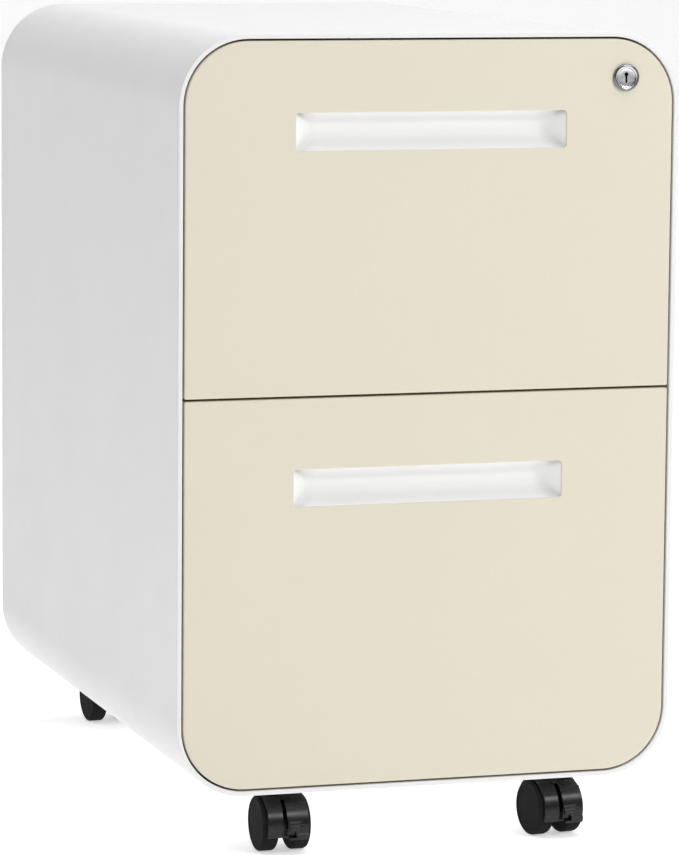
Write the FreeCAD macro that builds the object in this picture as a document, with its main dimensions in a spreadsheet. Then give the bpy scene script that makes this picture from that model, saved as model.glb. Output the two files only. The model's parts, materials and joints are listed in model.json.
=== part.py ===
"""Two-drawer mobile filing cabinet: a wrap-around steel shell on four twin-wheel casters.

Frame: +Z up, Z = 0 on the floor, X across the width, the drawers open towards -Y.
X = 0 is the middle of the width and Y = 0 the middle of the overall depth. Lengths in mm.
"""
import FreeCAD
import Part
import Sketcher
import math
import os

DIMENSIONS = (
    ("shell_width", 390, "overall width"),
    ("shell_depth", 570, "shell, front plane to rear edge"),
    ("shell_height", 567, "shell, underside to top"),
    ("ground_gap", 48, "floor to the underside of the shell"),
    ("corner_radius", 53, "outer corner radius of the shell"),
    ("sheet", 1.0, "shell sheet thickness"),
    ("heavy_sheet", 1.2, "sheet of frames, fronts and slides"),
    ("rim_face", 3.7, "width of the folded rim seen from the front"),
    ("rim_depth", 14, "depth of the folded front rim"),
    ("rear_rim_depth", 8, "depth of the folded rear rim"),
    ("reveal", 1.5, "gap between the rim and a drawer front"),
    ("split_height", 298.5, "middle of the gap between the drawers, above the underside"),
    ("split_gap", 1.8, "gap between the two drawer fronts"),
    ("small_radius", 1.5, "radius of the square corners of a drawer front"),
    ("front_depth", 18, "thickness of a whole drawer front"),
    ("back_recess", 14, "rear edge to the outer face of the back flange"),
    ("back_flange", 16, "width of the back flange"),
    ("screw_radius", 2, "shank radius of the small screws"),
    ("screw_head", 4, "head radius of the small screws"),
    ("screw_head_height", 2, "head height of the small screws"),
    ("back_shank", 8, "length of a back screw"),
    ("front_shank", 6, "length of a drawer front screw"),
    ("frame_face", 181, "middle to the inner face of a side frame"),
    ("post_start", 22, "front plane to the front post"),
    ("post_width", 40, "width of a post along the depth"),
    ("rear_post_start", 480, "front plane to the rear post"),
    ("post_end_gap", 56, "shell underside or top to the end of a post"),
    ("strap_height", 40, "height of a strap between the posts"),
    ("slide_start", 24, "front plane to the slides"),
    ("slide_length", 500, "length of a slide member"),
    ("slide_height", 45, "height of the outer slide member"),
    ("member_step", 5.8, "height lost from an outer member to the middle one"),
    ("inner_step", 6, "height lost from a middle member to the inner one"),
    ("outer_lip", 1.1, "tray to the lips of an outer member"),
    ("middle_lip", 1.3, "tray to the lips of a middle member"),
    ("ball_gap", 1.4, "outer member to middle member, across the balls"),
    ("inner_gap", 1.7, "middle member to inner member, across the balls"),
    ("tray_half", 168.3, "middle to the outer face of a drawer tray"),
    ("tray_end", 508, "front plane to the rear face of a drawer"),
    ("tray_sheet", 1.0, "tray sheet thickness"),
    ("tray_lip", 6, "inward fold along the top of a tray side"),
    ("tray_flange", 12, "inward fold at the front of a tray side"),
    ("flange_stop", 40, "top of the tray to the top of a front flange"),
    ("low_screw", 30, "underside of the tray to the lower front screws"),
    ("high_screw", 70, "top of the tray to the upper front screws"),
    ("upper_floor", 308, "underside of the upper tray, above the shell underside"),
    ("upper_top", 548, "top of the upper tray, above the shell underside"),
    ("upper_slide", 382, "middle of the upper slides, above the shell underside"),
    ("lower_floor", 16, "underside of the lower tray, above the shell underside"),
    ("lower_top", 266, "top of the lower tray, above the shell underside"),
    ("lower_slide", 102, "middle of the lower slides, above the shell underside"),
    ("pull_half", 105.5, "half the width of a handle opening"),
    ("pull_height", 28, "height of a handle opening"),
    ("pull_drop", 53, "top edge of a drawer front to its handle opening"),
    ("pull_corner", 3, "corner radius of a handle opening"),
    ("pull_room", 3.5, "room for fingers above a handle opening"),
    ("scoop_radius", 15, "radius of the finger scoop's floor and roof"),
    ("scoop_taper", 13, "how far an end of the scoop slopes in"),
    ("scoop_shift", 0.5, "axis of the scoop in front of the front plane"),
    ("cup_wall", 1.8, "wall of the handle cup"),
    ("cup_flange", 7, "flange of the handle cup behind the front"),
    ("rail_half", 157.5, "middle to the outer face of a hanging rail"),
    ("rail_height", 14, "height of a hanging rail"),
    ("rail_sheet", 2, "thickness of a hanging rail"),
    ("rail_drop", 12, "top of the tray to the underside of the rails"),
    ("rail_room", 6, "rear face of the drawer to the file frame"),
    ("divider_low", 278, "underside of the divider rail, above the shell underside"),
    ("divider_height", 18, "height of the divider rail"),
    ("divider_depth", 30, "depth of the divider rail"),
    ("base_half", 139, "half the width of the base plate"),
    ("base_gap", 1, "base plate to the folds in front of and behind it"),
    ("base_sheet", 2, "thickness of the base plate"),
    ("lock_x", 152, "middle to the lock axis"),
    ("lock_height", 532.7, "lock axis above the shell underside"),
    ("lock_proud", 2.5, "bezel in front of the drawer front"),
    ("bezel_radius", 10.2, "outer radius of the lock bezel"),
    ("bezel_slope", 1.2, "depth and width of the bezel's chamfer"),
    ("barrel_radius", 9, "radius of the lock barrel"),
    ("barrel_length", 24, "length of the barrel behind the front plane"),
    ("plug_radius", 7.45, "radius of the key plug"),
    ("plug_clearance", 0.05, "radial clearance round the key plug"),
    ("plug_inset", 1.6, "plug face in front of the front plane"),
    ("key_width", 1.6, "width of the key slot"),
    ("key_height", 8, "height of the key slot"),
    ("key_depth", 12, "depth of the key slot"),
    ("plug_tail", 2, "plug behind the barrel"),
    ("nut_radius", 13, "radius of the lock nut"),
    ("nut_height", 3, "thickness of the lock nut"),
    ("cam_length", 24, "lock axis to the tip of the cam"),
    ("cam_width", 8, "width of the cam arm"),
    ("cam_sheet", 2, "thickness of the cam"),
    ("notch_room", 7, "room below the cam in the tray"),
    ("bar_x", 184, "middle to the inner face of the lock bar"),
    ("bar_sheet", 2, "thickness of the lock bar"),
    ("bar_start", 28, "front plane to the lock bar"),
    ("bar_width", 12, "width of the lock bar"),
    ("bar_travel", 8, "lift of the lock bar"),
    ("bar_tail", 8, "lower hook to the end of the lock bar"),
    ("tab_gap", 0.3, "cam to the tab above it when locked"),
    ("hook_x", 170, "middle to the nose of a hook"),
    ("hook_start", 29, "front plane to a hook"),
    ("hook_depth", 3, "thickness of a hook along the depth"),
    ("hook_height", 8, "height of a hook"),
    ("hook_gap", 1, "hook to the catch above it when open"),
    ("catch_gap", 1.5, "hook to catch, along the depth"),
    ("catch_reach", 6.2, "catch in front of the tray side"),
    ("catch_height", 6, "height of a catch"),
    ("catch_depth", 3, "thickness of a catch along the depth"),
    ("upper_catch", 488, "middle of the upper catch, above the shell underside"),
    ("lower_catch", 242, "middle of the lower catch, above the shell underside"),
    ("caster_x", 107.5, "middle to a caster's swivel axis"),
    ("caster_inset", 40.5, "front plane or rear edge to a swivel axis"),
    ("plate_half", 19, "half the side of a caster's plate"),
    ("plate_sheet", 2, "thickness of a caster's plate"),
    ("bolt_half", 14, "half the spacing of a caster's bolts"),
    ("bolt_radius", 2.5, "radius of a caster's bolts"),
    ("bolt_head", 4.5, "head radius of a caster's bolts"),
    ("bolt_head_height", 3, "head height of a caster's bolts"),
    ("hole_clearance", 0.1, "radial clearance of a fastener's hole"),
    ("wheel_radius", 21, "radius of a caster's wheel"),
    ("wheel_width", 13, "width of one wheel"),
    ("wheel_gap", 12, "gap between the two wheels"),
    ("wheel_round", 2.5, "rounding of a wheel's edges"),
    ("dish_radius", 17, "radius of the dish in a wheel's outer face"),
    ("dish_depth", 0.4, "depth of the dish in a wheel's outer face"),
    ("trail", 14, "swivel axis to wheel axis"),
    ("kingpin_radius", 4, "radius of the swivel pin"),
    ("kingpin_length", 6.5, "length of the swivel pin below the plate"),
    ("running_clearance", 0.05, "radial clearance of a pin that turns"),
    ("pin_room", 0.4, "room below the swivel pin"),
    ("boss_radius", 8, "radius of the hood's swivel boss"),
    ("boss_depth", 8, "depth of the hood's swivel boss"),
    ("swivel_gap", 0.6, "plate to boss"),
    ("hood_space", 1.0, "hood to wheel tread"),
    ("hood_wall", 1.4, "wall of the hood"),
    ("hood_half", 16, "half the width of the hood"),
    ("hood_arc", 189, "degrees of wheel that the hood covers"),
    ("web_half", 2.9, "half the thickness of the hood's web"),
    ("web_step", 0.3, "how far the web stays inside the hood's outer face"),
    ("hub_radius", 7, "radius of the hub round the axle"),
    ("axle_radius", 2.5, "radius of the axle"),
    ("axle_half", 16, "half the length of the axle"),
    ("lever_gap", 0.4, "hood to brake lever"),
    ("lever_wall", 1.6, "thickness of the brake lever"),
    ("lever_start", -1.5, "middle of the caster to the lever"),
    ("lever_end", 15.5, "middle of the caster to the lever's far side"),
    ("lever_arc", 67, "degrees that the brake lever covers"),
    ("toe_depth", 1.2, "toe ridge on the brake lever"),
    ("toe_arc", 9, "degrees that the toe ridge covers"),
)

HOOD_FRONT_ANGLE = -19.0
LEVER_FRONT_ANGLE = -20.0
CASTERS = (
    ("front_left", -1, 1, 1.0, True),
    ("front_right", 1, 1, 8.0, True),
    ("rear_left", -1, -1, 184.0, False),
    ("rear_right", 1, -1, 171.0, False),
)
BACK_SCREW_SHARES = (0.2, 0.5, 0.8)     # places up the height of the shell
MODEL_END = 1.0     # how far a cutting solid runs past the face that it cuts

doc = FreeCAD.newDocument("filing_cabinet")
nodes = []


class Size:
    """A length in mm together with the sheet expression that gives it."""

    def __init__(self, value, text):
        self.value = value
        self.text = text

    def __add__(self, other):
        other = as_size(other)
        return Size(self.value + other.value, "(" + self.text + " + " + other.text + ")")

    def __radd__(self, other):
        return as_size(other) + self

    def __sub__(self, other):
        other = as_size(other)
        return Size(self.value - other.value, "(" + self.text + " - " + other.text + ")")

    def __rsub__(self, other):
        return as_size(other) - self

    def __mul__(self, other):
        other = as_size(other)
        return Size(self.value * other.value, "(" + self.text + " * " + other.text + ")")

    def __rmul__(self, other):
        return as_size(other) * self

    def __truediv__(self, other):
        other = as_size(other)
        return Size(self.value / other.value, "(" + self.text + " / " + other.text + ")")

    def __neg__(self):
        return self * -1.0


def as_size(number):
    if isinstance(number, Size):
        return number
    return Size(float(number), "(" + str(float(number)) + ")")


class Dimensions:
    """The driving dimensions, each readable as a Size under its alias."""


def fill_sheet():
    sheet = doc.addObject("Spreadsheet::Sheet", "Dims")
    dims = Dimensions()
    for row, (alias, value, meaning) in enumerate(DIMENSIONS, start=1):
        sheet.set("A" + str(row), alias)
        sheet.set("B" + str(row), str(value))
        sheet.set("C" + str(row), meaning)
        sheet.setAlias("B" + str(row), alias)
        setattr(dims, alias, Size(float(value), "Dims." + alias))
    doc.recompute()
    return dims


dim = fill_sheet()
half_width = dim.shell_width / 2
front = -(dim.shell_depth - dim.lock_proud) / 2
rear = front + dim.shell_depth
base = dim.ground_gap
top = base + dim.shell_height
split = base + dim.split_height
edge = dim.rim_face + dim.reveal        # outline of the shell to the edge of a drawer front


# ---------------------------------------------------------------- building blocks

def bind(thing, **sizes):
    """Bind properties of a document object to the sheet."""
    for name, length in sizes.items():
        thing.setExpression(name, as_size(length).text)


def put(thing, x, y, z, rotation=None):
    if rotation is not None:
        thing.Placement = FreeCAD.Placement(FreeCAD.Vector(), rotation)
    for axis, length in zip("xyz", (x, y, z)):
        thing.setExpression("Placement.Base." + axis, as_size(length).text)


def box(name, x, y, z):
    """A box between the (low, high) pairs x, y and z."""
    solid = doc.addObject("Part::Box", name)
    bind(solid, Length=as_size(x[1]) - x[0], Width=as_size(y[1]) - y[0], Height=as_size(z[1]) - z[0])
    put(solid, x[0], y[0], z[0])
    return solid


def sided(side, inner, outer):
    """The (low, high) pair of X for a stretch from inner to outer on one side of the middle."""
    if side > 0:
        return inner, outer
    return -as_size(outer), -as_size(inner)


AXES = {
    "X": FreeCAD.Rotation(FreeCAD.Vector(0, 1, 0), 90),
    "Y": FreeCAD.Rotation(FreeCAD.Vector(1, 0, 0), -90),
    "Z": FreeCAD.Rotation(),
}


def rod(name, axis, start, length, radius):
    """A cylinder from start = (x, y, z) along +axis."""
    solid = doc.addObject("Part::Cylinder", name)
    bind(solid, Radius=radius, Height=length)
    put(solid, start[0], start[1], start[2], AXES[axis])
    return solid


def sector(name, x, centre, radius, start_angle, span):
    """A slice of a cylinder about the X axis through centre = (y, z), between the X pair x.

    Angles are in degrees, from -Y up towards +Z.
    """
    angle = math.radians(start_angle)
    along = FreeCAD.Vector(-1, 0, 0)
    first = FreeCAD.Vector(0, -math.cos(angle), math.sin(angle))
    solid = doc.addObject("Part::Cylinder", name)
    bind(solid, Radius=radius, Height=as_size(x[1]) - x[0], Angle=span)
    put(solid, x[1], centre[0], centre[1], FreeCAD.Rotation(first, along.cross(first), along, "ZXY"))
    return solid


def fuse(name, solids):
    joined = doc.addObject("Part::MultiFuse", name)
    joined.Shapes = solids
    joined.Refine = True
    return joined


def group(name, solids):
    """Separate solids that share one node."""
    compound = doc.addObject("Part::Compound", name)
    compound.Links = solids
    return compound


def cut(name, solid, tools):
    carved = doc.addObject("Part::Cut", name)
    carved.Base = solid
    carved.Tool = tools[0] if len(tools) == 1 else group(name + "_tools", tools)
    return carved


def node(name, thing):
    """Register a finished sub-part under its label."""
    thing.Label = name
    nodes.append(thing)
    return thing


def circular_edges(thing, radius):
    """Numbers of the full circles of one radius among the edges of a shape."""
    doc.recompute()
    found = []
    for number, line in enumerate(thing.Shape.Edges, start=1):
        if line.Closed and isinstance(line.Curve, Part.Circle) and abs(line.Curve.Radius - radius) < 1e-6:
            found.append(number)
    return found


def rounded(name, thing, circle_radius, fillet_radius):
    """Round the circular edges of a solid."""
    fillet = doc.addObject("Part::Fillet", name)
    fillet.Base = thing
    fillet.Edges = [(number, fillet_radius, fillet_radius) for number in circular_edges(thing, circle_radius)]
    return fillet


# ---------------------------------------------------------------- sketched plates

def origin_plane(body, role):
    return [feature for feature in body.Origin.OriginFeatures if feature.Role == role][0]


def front_sketch(body, name, y):
    """A sketch parallel to the front plane: its axes are X and Z and it lies at y."""
    sketch = body.newObject("Sketcher::SketchObject", name)
    sketch.AttachmentSupport = (origin_plane(body, "XZ_Plane"), "")
    sketch.MapMode = "FlatFace"
    sketch.setExpression("AttachmentOffset.Base.z", (-as_size(y)).text)
    return sketch


def constrain(sketch, kind, references, length):
    number = sketch.addConstraint(Sketcher.Constraint(kind, *references, length.value))
    sketch.setExpression("Constraints[" + str(number) + "]", length.text)


def pin(sketch, direction, element, point, length):
    """Hold a point of the sketch at a signed distance from the origin."""
    if length.value >= 0:
        constrain(sketch, direction, (-1, 1, element, point), length)
    else:
        constrain(sketch, direction, (element, point, -1, 1), -length)


def outline(sketch, x, z, low_radius, high_radius):
    """A rectangle between the pairs x and z with rounded lower and upper corners."""
    left, right = as_size(x[0]), as_size(x[1])
    low, high = as_size(z[0]), as_size(z[1])
    corners = (
        (right, low, -1, 1, as_size(low_radius), -90),
        (right, high, -1, -1, as_size(high_radius), 0),
        (left, high, 1, -1, as_size(high_radius), 90),
        (left, low, 1, 1, as_size(low_radius), 180),
    )
    arcs = []
    for corner_x, corner_z, step_x, step_z, radius, start in corners:
        middle_x = corner_x.value + step_x * radius.value
        middle = FreeCAD.Vector(middle_x, corner_z.value + step_z * radius.value, 0)
        circle = Part.Circle(middle, FreeCAD.Vector(0, 0, 1), radius.value)
        arc = Part.ArcOfCircle(circle, math.radians(start), math.radians(start + 90))
        arcs.append(sketch.addGeometry(arc, False))
    sides = []
    for number, arc in enumerate(arcs):
        following = arcs[(number + 1) % 4]
        run = Part.LineSegment(sketch.Geometry[arc].EndPoint, sketch.Geometry[following].StartPoint)
        sides.append(sketch.addGeometry(run, False))
    for number, arc in enumerate(arcs):
        sketch.addConstraint(Sketcher.Constraint("Tangent", arc, 2, sides[number], 1))
        sketch.addConstraint(Sketcher.Constraint("Tangent", sides[number], 2, arcs[(number + 1) % 4], 1))
        direction = "Vertical" if number % 2 == 0 else "Horizontal"
        sketch.addConstraint(Sketcher.Constraint(direction, sides[number]))
        constrain(sketch, "Radius", (arc,), corners[number][4])
    pin(sketch, "DistanceX", sides[0], 1, right)
    pin(sketch, "DistanceY", sides[1], 1, high)
    pin(sketch, "DistanceX", sides[2], 1, left)
    pin(sketch, "DistanceY", sides[3], 1, low)


def hole(sketch, x, z, radius):
    middle = FreeCAD.Vector(as_size(x).value, as_size(z).value, 0)
    ring = sketch.addGeometry(Part.Circle(middle, FreeCAD.Vector(0, 0, 1), as_size(radius).value), False)
    constrain(sketch, "Radius", (ring,), as_size(radius))
    pin(sketch, "DistanceX", ring, 3, as_size(x))
    pin(sketch, "DistanceY", ring, 3, as_size(z))


def pad_back(body, sketch, name, length):
    """Extrude a front sketch towards +Y."""
    pad = body.newObject("PartDesign::Pad", name)
    pad.Profile = sketch
    pad.Reversed = True
    bind(pad, Length=length)
    return pad


def shell_outline(sketch, inset):
    """The shell's rounded rectangle, moved inwards."""
    radius = dim.corner_radius - inset
    outline(sketch, (inset - half_width, half_width - inset), (base + inset, top - inset), radius, radius)


def ring(body, name, y, outer_inset, inner_inset, length):
    """A rounded frame between two insets of the shell's outline."""
    sketch = front_sketch(body, name + "_sketch", y)
    shell_outline(sketch, as_size(outer_inset))
    shell_outline(sketch, as_size(inner_inset))
    return pad_back(body, sketch, name, length)


# ---------------------------------------------------------------- cabinet body

def caster_places():
    for name, side, end, yaw, braked in CASTERS:
        y = front + dim.caster_inset if end > 0 else rear - dim.caster_inset
        yield name, dim.caster_x * side, y, yaw, braked


def bolt_places():
    for _, x, y, _, _ in caster_places():
        for step_x in (-1, 1):
            for step_y in (-1, 1):
                yield x + dim.bolt_half * step_x, y + dim.bolt_half * step_y


def bolt_holes(name):
    """Cutting rods for the caster bolts, through the underside."""
    radius = dim.bolt_radius + dim.hole_clearance
    length = dim.sheet + dim.base_sheet + 2 * MODEL_END
    return [
        rod(name + "_hole_" + str(number), "Z", (x, y, base - MODEL_END), length, radius)
        for number, (x, y) in enumerate(bolt_places())
    ]


def make_shell():
    body = doc.addObject("PartDesign::Body", "shell_form")
    ring(body, "wall", front, 0, dim.sheet, dim.shell_depth)
    ring(body, "front_fold", front, 0, dim.rim_face, dim.sheet)
    ring(body, "front_return", front, dim.rim_face - dim.sheet, dim.rim_face, dim.rim_depth)
    ring(body, "rear_fold", rear - dim.sheet, 0, dim.rim_face, dim.sheet)
    rear_lip = rear - dim.rear_rim_depth
    ring(body, "rear_return", rear_lip, dim.rim_face - dim.sheet, dim.rim_face, dim.rear_rim_depth)
    flange = rear - dim.back_recess - dim.sheet
    ring(body, "back_flange", flange, 0, dim.back_flange, dim.sheet)
    node("shell", cut("shell_drilled", body, bolt_holes("shell") + back_screw_holes("shell")))


def back_screw_places():
    x = half_width - dim.back_flange / 2
    for side in (-1, 1):
        for share in BACK_SCREW_SHARES:
            yield x * side, base + dim.shell_height * share


def back_screw_holes(name):
    y = rear - dim.back_recess - dim.sheet - MODEL_END
    length = 2 * dim.sheet + 2 * MODEL_END
    radius = dim.screw_radius + dim.hole_clearance
    return [
        rod(name + "_back_hole_" + str(number), "Y", (x, y, z), length, radius)
        for number, (x, z) in enumerate(back_screw_places())
    ]


def make_back_panel():
    body = doc.addObject("PartDesign::Body", "back_panel")
    sketch = front_sketch(body, "back_panel_sketch", rear - dim.back_recess)
    shell_outline(sketch, dim.sheet + dim.hole_clearance)
    for x, z in back_screw_places():
        hole(sketch, x, z, dim.screw_radius + dim.hole_clearance)
    pad_back(body, sketch, "back_panel_pad", dim.sheet)
    node("back_panel", body)


def pan_screw(name, x, seat_y, z, shank):
    """A pan-head screw driven towards -Y: its head sits on the face at seat_y."""
    head = rod(name + "_head", "Y", (x, seat_y, z), dim.screw_head_height, dim.screw_head)
    body = rod(name + "_shank", "Y", (x, seat_y - shank, z), shank, dim.screw_radius)
    return fuse(name, [head, body])


def make_back_screws():
    seat_y = rear - dim.back_recess + dim.sheet
    screws = [
        pan_screw("back_screw_" + str(number), x, seat_y, z, dim.back_shank)
        for number, (x, z) in enumerate(back_screw_places())
    ]
    node("back_screws", group("back_screws", screws))


def channel_post(name, side, y_start, post_low, post_high):
    """A C-channel post that opens towards the shell wall."""
    wall = dim.heavy_sheet
    outer_x = half_width - dim.sheet
    y_end = y_start + dim.post_width
    outside_x = sided(side, dim.frame_face, outer_x)
    outside = box(name + "_outside", outside_x, (y_start, y_end), (post_low, post_high))
    inner_x = sided(side, dim.frame_face + wall, outer_x + MODEL_END)
    inside = box(name + "_inside", inner_x, (y_start + wall, y_end - wall),
                 (post_low - MODEL_END, post_high + MODEL_END))
    return cut(name, outside, [inside])


def hook_slot(name, catch_z):
    """Cutting box for the slot in the front post that a hook moves in."""
    low = hook_rest_low(catch_z) - MODEL_END
    high = low + dim.hook_height + dim.bar_travel + 2 * MODEL_END
    y = (front + dim.hook_start - MODEL_END, front + dim.hook_start + dim.hook_depth + MODEL_END)
    return box(name, (dim.frame_face - MODEL_END, dim.frame_face + 2 * MODEL_END), y, (low, high))


def make_side_frame(side_name, side):
    """Two channel posts with two straps welded between them; the slides sit on the straps."""
    low = base + dim.post_end_gap
    high = top - dim.post_end_gap
    name = "side_frame_" + side_name
    front_post = channel_post(name + "_front_post", side, front + dim.post_start, low, high)
    if side > 0:
        slots = [hook_slot("slot_" + level, catch_middle(level)) for level in ("upper", "lower")]
        front_post = cut(name + "_slotted_post", front_post, slots)
    pieces = [front_post, channel_post(name + "_rear_post", side, front + dim.rear_post_start, low, high)]
    strap_y = (front + dim.post_start + dim.post_width, front + dim.rear_post_start)
    for level in ("upper", "lower"):
        middle = slide_middle(level)
        strap_z = (middle - dim.strap_height / 2, middle + dim.strap_height / 2)
        strap_x = sided(side, dim.frame_face, dim.frame_face + dim.heavy_sheet)
        pieces.append(box(name + "_strap_" + level, strap_x, strap_y, strap_z))
    node(name, group(name, pieces))


def make_base_plate():
    """Plate that stiffens the underside and carries the casters."""
    x = (-dim.base_half, dim.base_half)
    y = (front + dim.rim_depth + dim.base_gap, rear - dim.back_recess - dim.sheet - dim.base_gap)
    z = (base + dim.sheet, base + dim.sheet + dim.base_sheet)
    plate = box("base_plate_form", x, y, z)
    node("base_plate", cut("base_plate", plate, bolt_holes("base_plate")))


def make_divider_rail():
    """An upside-down channel between the front posts, behind the gap of the drawer fronts."""
    wall = dim.heavy_sheet
    x = (-dim.frame_face, dim.frame_face)
    y = (front + dim.slide_start, front + dim.slide_start + dim.divider_depth)
    z = (base + dim.divider_low, base + dim.divider_low + dim.divider_height)
    outside = box("divider_outside", x, y, z)
    inside = box("divider_inside", (x[0] - MODEL_END, x[1] + MODEL_END), (y[0] + wall, y[1] - wall),
                 (z[0] - MODEL_END, z[1] - wall))
    node("divider_rail", cut("divider_rail", outside, [inside]))


# ---------------------------------------------------------------- slides

def slide_middle(level):
    return base + (dim.upper_slide if level == "upper" else dim.lower_slide)


def slide_channel(name, side, x_span, hollow_span, z_middle, height):
    """One C-shaped member of a ball-bearing slide."""
    y = (front + dim.slide_start, front + dim.slide_start + dim.slide_length)
    half = height / 2
    solid = box(name + "_outside", sided(side, x_span[0], x_span[1]), y, (z_middle - half, z_middle + half))
    inner_half = half - dim.heavy_sheet
    hollow_x = sided(side, hollow_span[0], hollow_span[1])
    hollow = box(name + "_inside", hollow_x, (y[0] - MODEL_END, y[1] + MODEL_END),
                 (z_middle - inner_half, z_middle + inner_half))
    return cut(name, solid, [hollow])


def make_slide(level, side_name, side):
    """Outer member on the side frame, middle member between, inner member on the tray."""
    wall = dim.heavy_sheet
    middle = slide_middle(level)
    tail = level + "_" + side_name
    tray = dim.tray_half
    outer_x = (tray + dim.outer_lip, dim.frame_face)
    mid_x = (tray + dim.middle_lip, outer_x[1] - wall - dim.ball_gap)
    inner_x = (tray, mid_x[1] - wall - dim.inner_gap)
    outer_height = dim.slide_height
    mid_height = outer_height - dim.member_step
    inner_height = mid_height - dim.inner_step
    opening = tray - MODEL_END
    node("slide_outer_" + tail, slide_channel("slide_outer_" + tail, side, outer_x,
                                              (opening, outer_x[1] - wall), middle, outer_height))
    node("slide_middle_" + tail, slide_channel("slide_middle_" + tail, side, mid_x,
                                               (opening, mid_x[1] - wall), middle, mid_height))
    node("slide_inner_" + tail, slide_channel("slide_inner_" + tail, side, inner_x,
                                              (tray + wall, inner_x[1] + MODEL_END), middle, inner_height))


# ---------------------------------------------------------------- drawers

def front_span(level):
    """Lower and upper edge of a drawer front."""
    if level == "upper":
        return split + dim.split_gap / 2, top - edge
    return base + edge, split - dim.split_gap / 2


def corner_radii(level):
    """Lower and upper corner radius of a drawer front."""
    large = dim.corner_radius - edge
    if level == "upper":
        return dim.small_radius, large
    return large, dim.small_radius


def tray_span(level):
    if level == "upper":
        return base + dim.upper_floor, base + dim.upper_top
    return base + dim.lower_floor, base + dim.lower_top


def catch_middle(level):
    return base + (dim.upper_catch if level == "upper" else dim.lower_catch)


def hook_rest_low(catch_z):
    """Underside of a hook while the lock is open: its top is just below the catch."""
    return catch_z - dim.catch_height / 2 - dim.hook_gap - dim.hook_height


def front_outline(sketch, level, inset):
    low, high = front_span(level)
    low_radius, high_radius = corner_radii(level)
    x = half_width - edge - inset
    if as_size(inset).value > 0:
        small = dim.small_radius - inset
        low_radius = small if level == "upper" else low_radius - inset
        high_radius = high_radius - inset if level == "upper" else small
    outline(sketch, (-x, x), (low + inset, high - inset), low_radius, high_radius)


def pull_span(level):
    """Lower and upper edge of a handle opening."""
    high = front_span(level)[1] - dim.pull_drop
    return high - dim.pull_height, high


def lock_axis():
    return dim.lock_x, base + dim.lock_height


def make_front_panel(level):
    """A pressed steel pan: face with the handle opening, and a folded edge all round."""
    name = "front_panel_" + level
    body = doc.addObject("PartDesign::Body", name)
    face = front_sketch(body, name + "_face_sketch", front)
    front_outline(face, level, 0)
    outline(face, (-dim.pull_half, dim.pull_half), pull_span(level), dim.pull_corner, dim.pull_corner)
    if level == "upper":
        lock_x, lock_z = lock_axis()
        hole(face, lock_x, lock_z, dim.barrel_radius + dim.hole_clearance)
    pad_back(body, face, name + "_face", dim.heavy_sheet)
    fold = front_sketch(body, name + "_fold_sketch", front)
    front_outline(fold, level, 0)
    front_outline(fold, level, dim.heavy_sheet)
    pad_back(body, fold, name + "_fold", dim.front_depth - dim.heavy_sheet)
    node(name, body)


def front_screw_places(level):
    low, high = tray_span(level)
    x = dim.tray_half - dim.tray_flange / 2
    for side in (-1, 1):
        yield x * side, low + dim.low_screw
        yield x * side, high - dim.high_screw


def make_inner_panel(level):
    """The flat sheet that closes the back of a drawer front."""
    name = "inner_panel_" + level
    body = doc.addObject("PartDesign::Body", name)
    sketch = front_sketch(body, name + "_sketch", front + dim.front_depth - dim.heavy_sheet)
    front_outline(sketch, level, 0)
    for x, z in front_screw_places(level):
        hole(sketch, x, z, dim.screw_radius + dim.hole_clearance)
    if level == "upper":
        lock_x, lock_z = lock_axis()
        hole(sketch, lock_x, lock_z, dim.barrel_radius + dim.hole_clearance)
    pad_back(body, sketch, name + "_pad", dim.heavy_sheet)
    node(name, body)


def scoop(name, x_half, y, z, radius):
    """A run with a round floor, an upright back and a round roof, whose ends slope in."""
    axis_y = front - dim.scoop_shift
    floor_z = z[0] + radius
    roof_z = z[1] - radius
    floor = rod(name + "_floor", "X", (-x_half, axis_y, floor_z), 2 * x_half, radius)
    roof = rod(name + "_roof", "X", (-x_half, axis_y, roof_z), 2 * x_half, radius)
    upright = box(name + "_upright", (-x_half, x_half), y, (floor_z, roof_z))
    end_half = x_half - dim.scoop_taper
    ends = doc.addObject("Part::Wedge", name + "_ends")
    bind(ends, Xmin=-x_half, Xmax=x_half, X2min=-end_half, X2max=end_half)
    bind(ends, Ymin=y[0], Ymax=y[1], Zmin=z[0], Zmax=z[1], Z2min=z[0], Z2max=z[1])
    run = doc.addObject("Part::Common", name)
    run.Base = fuse(name + "_run", [floor, roof, upright])
    run.Tool = ends
    return run


def make_handle_cup(level):
    """The white finger recess behind the opening of a drawer front."""
    name = "handle_cup_" + level
    low, high = pull_span(level)
    wall = dim.cup_wall
    behind = front + dim.heavy_sheet
    deepest = front - dim.scoop_shift + dim.scoop_radius
    room = high + dim.pull_room
    outside = scoop(name + "_outside", dim.pull_half + wall, (behind, deepest + wall),
                    (low - wall, room + wall), dim.scoop_radius + wall)
    flange_x = dim.pull_half + dim.cup_flange
    flange = box(name + "_flange", (-flange_x, flange_x), (behind, behind + wall),
                 (low - dim.cup_flange, room + dim.cup_flange))
    solid = fuse(name + "_solid", [outside, flange])
    hollow = scoop(name + "_hollow", dim.pull_half, (behind, deepest), (low, room), dim.scoop_radius)
    node(name, cut(name, solid, [hollow]))


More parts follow.
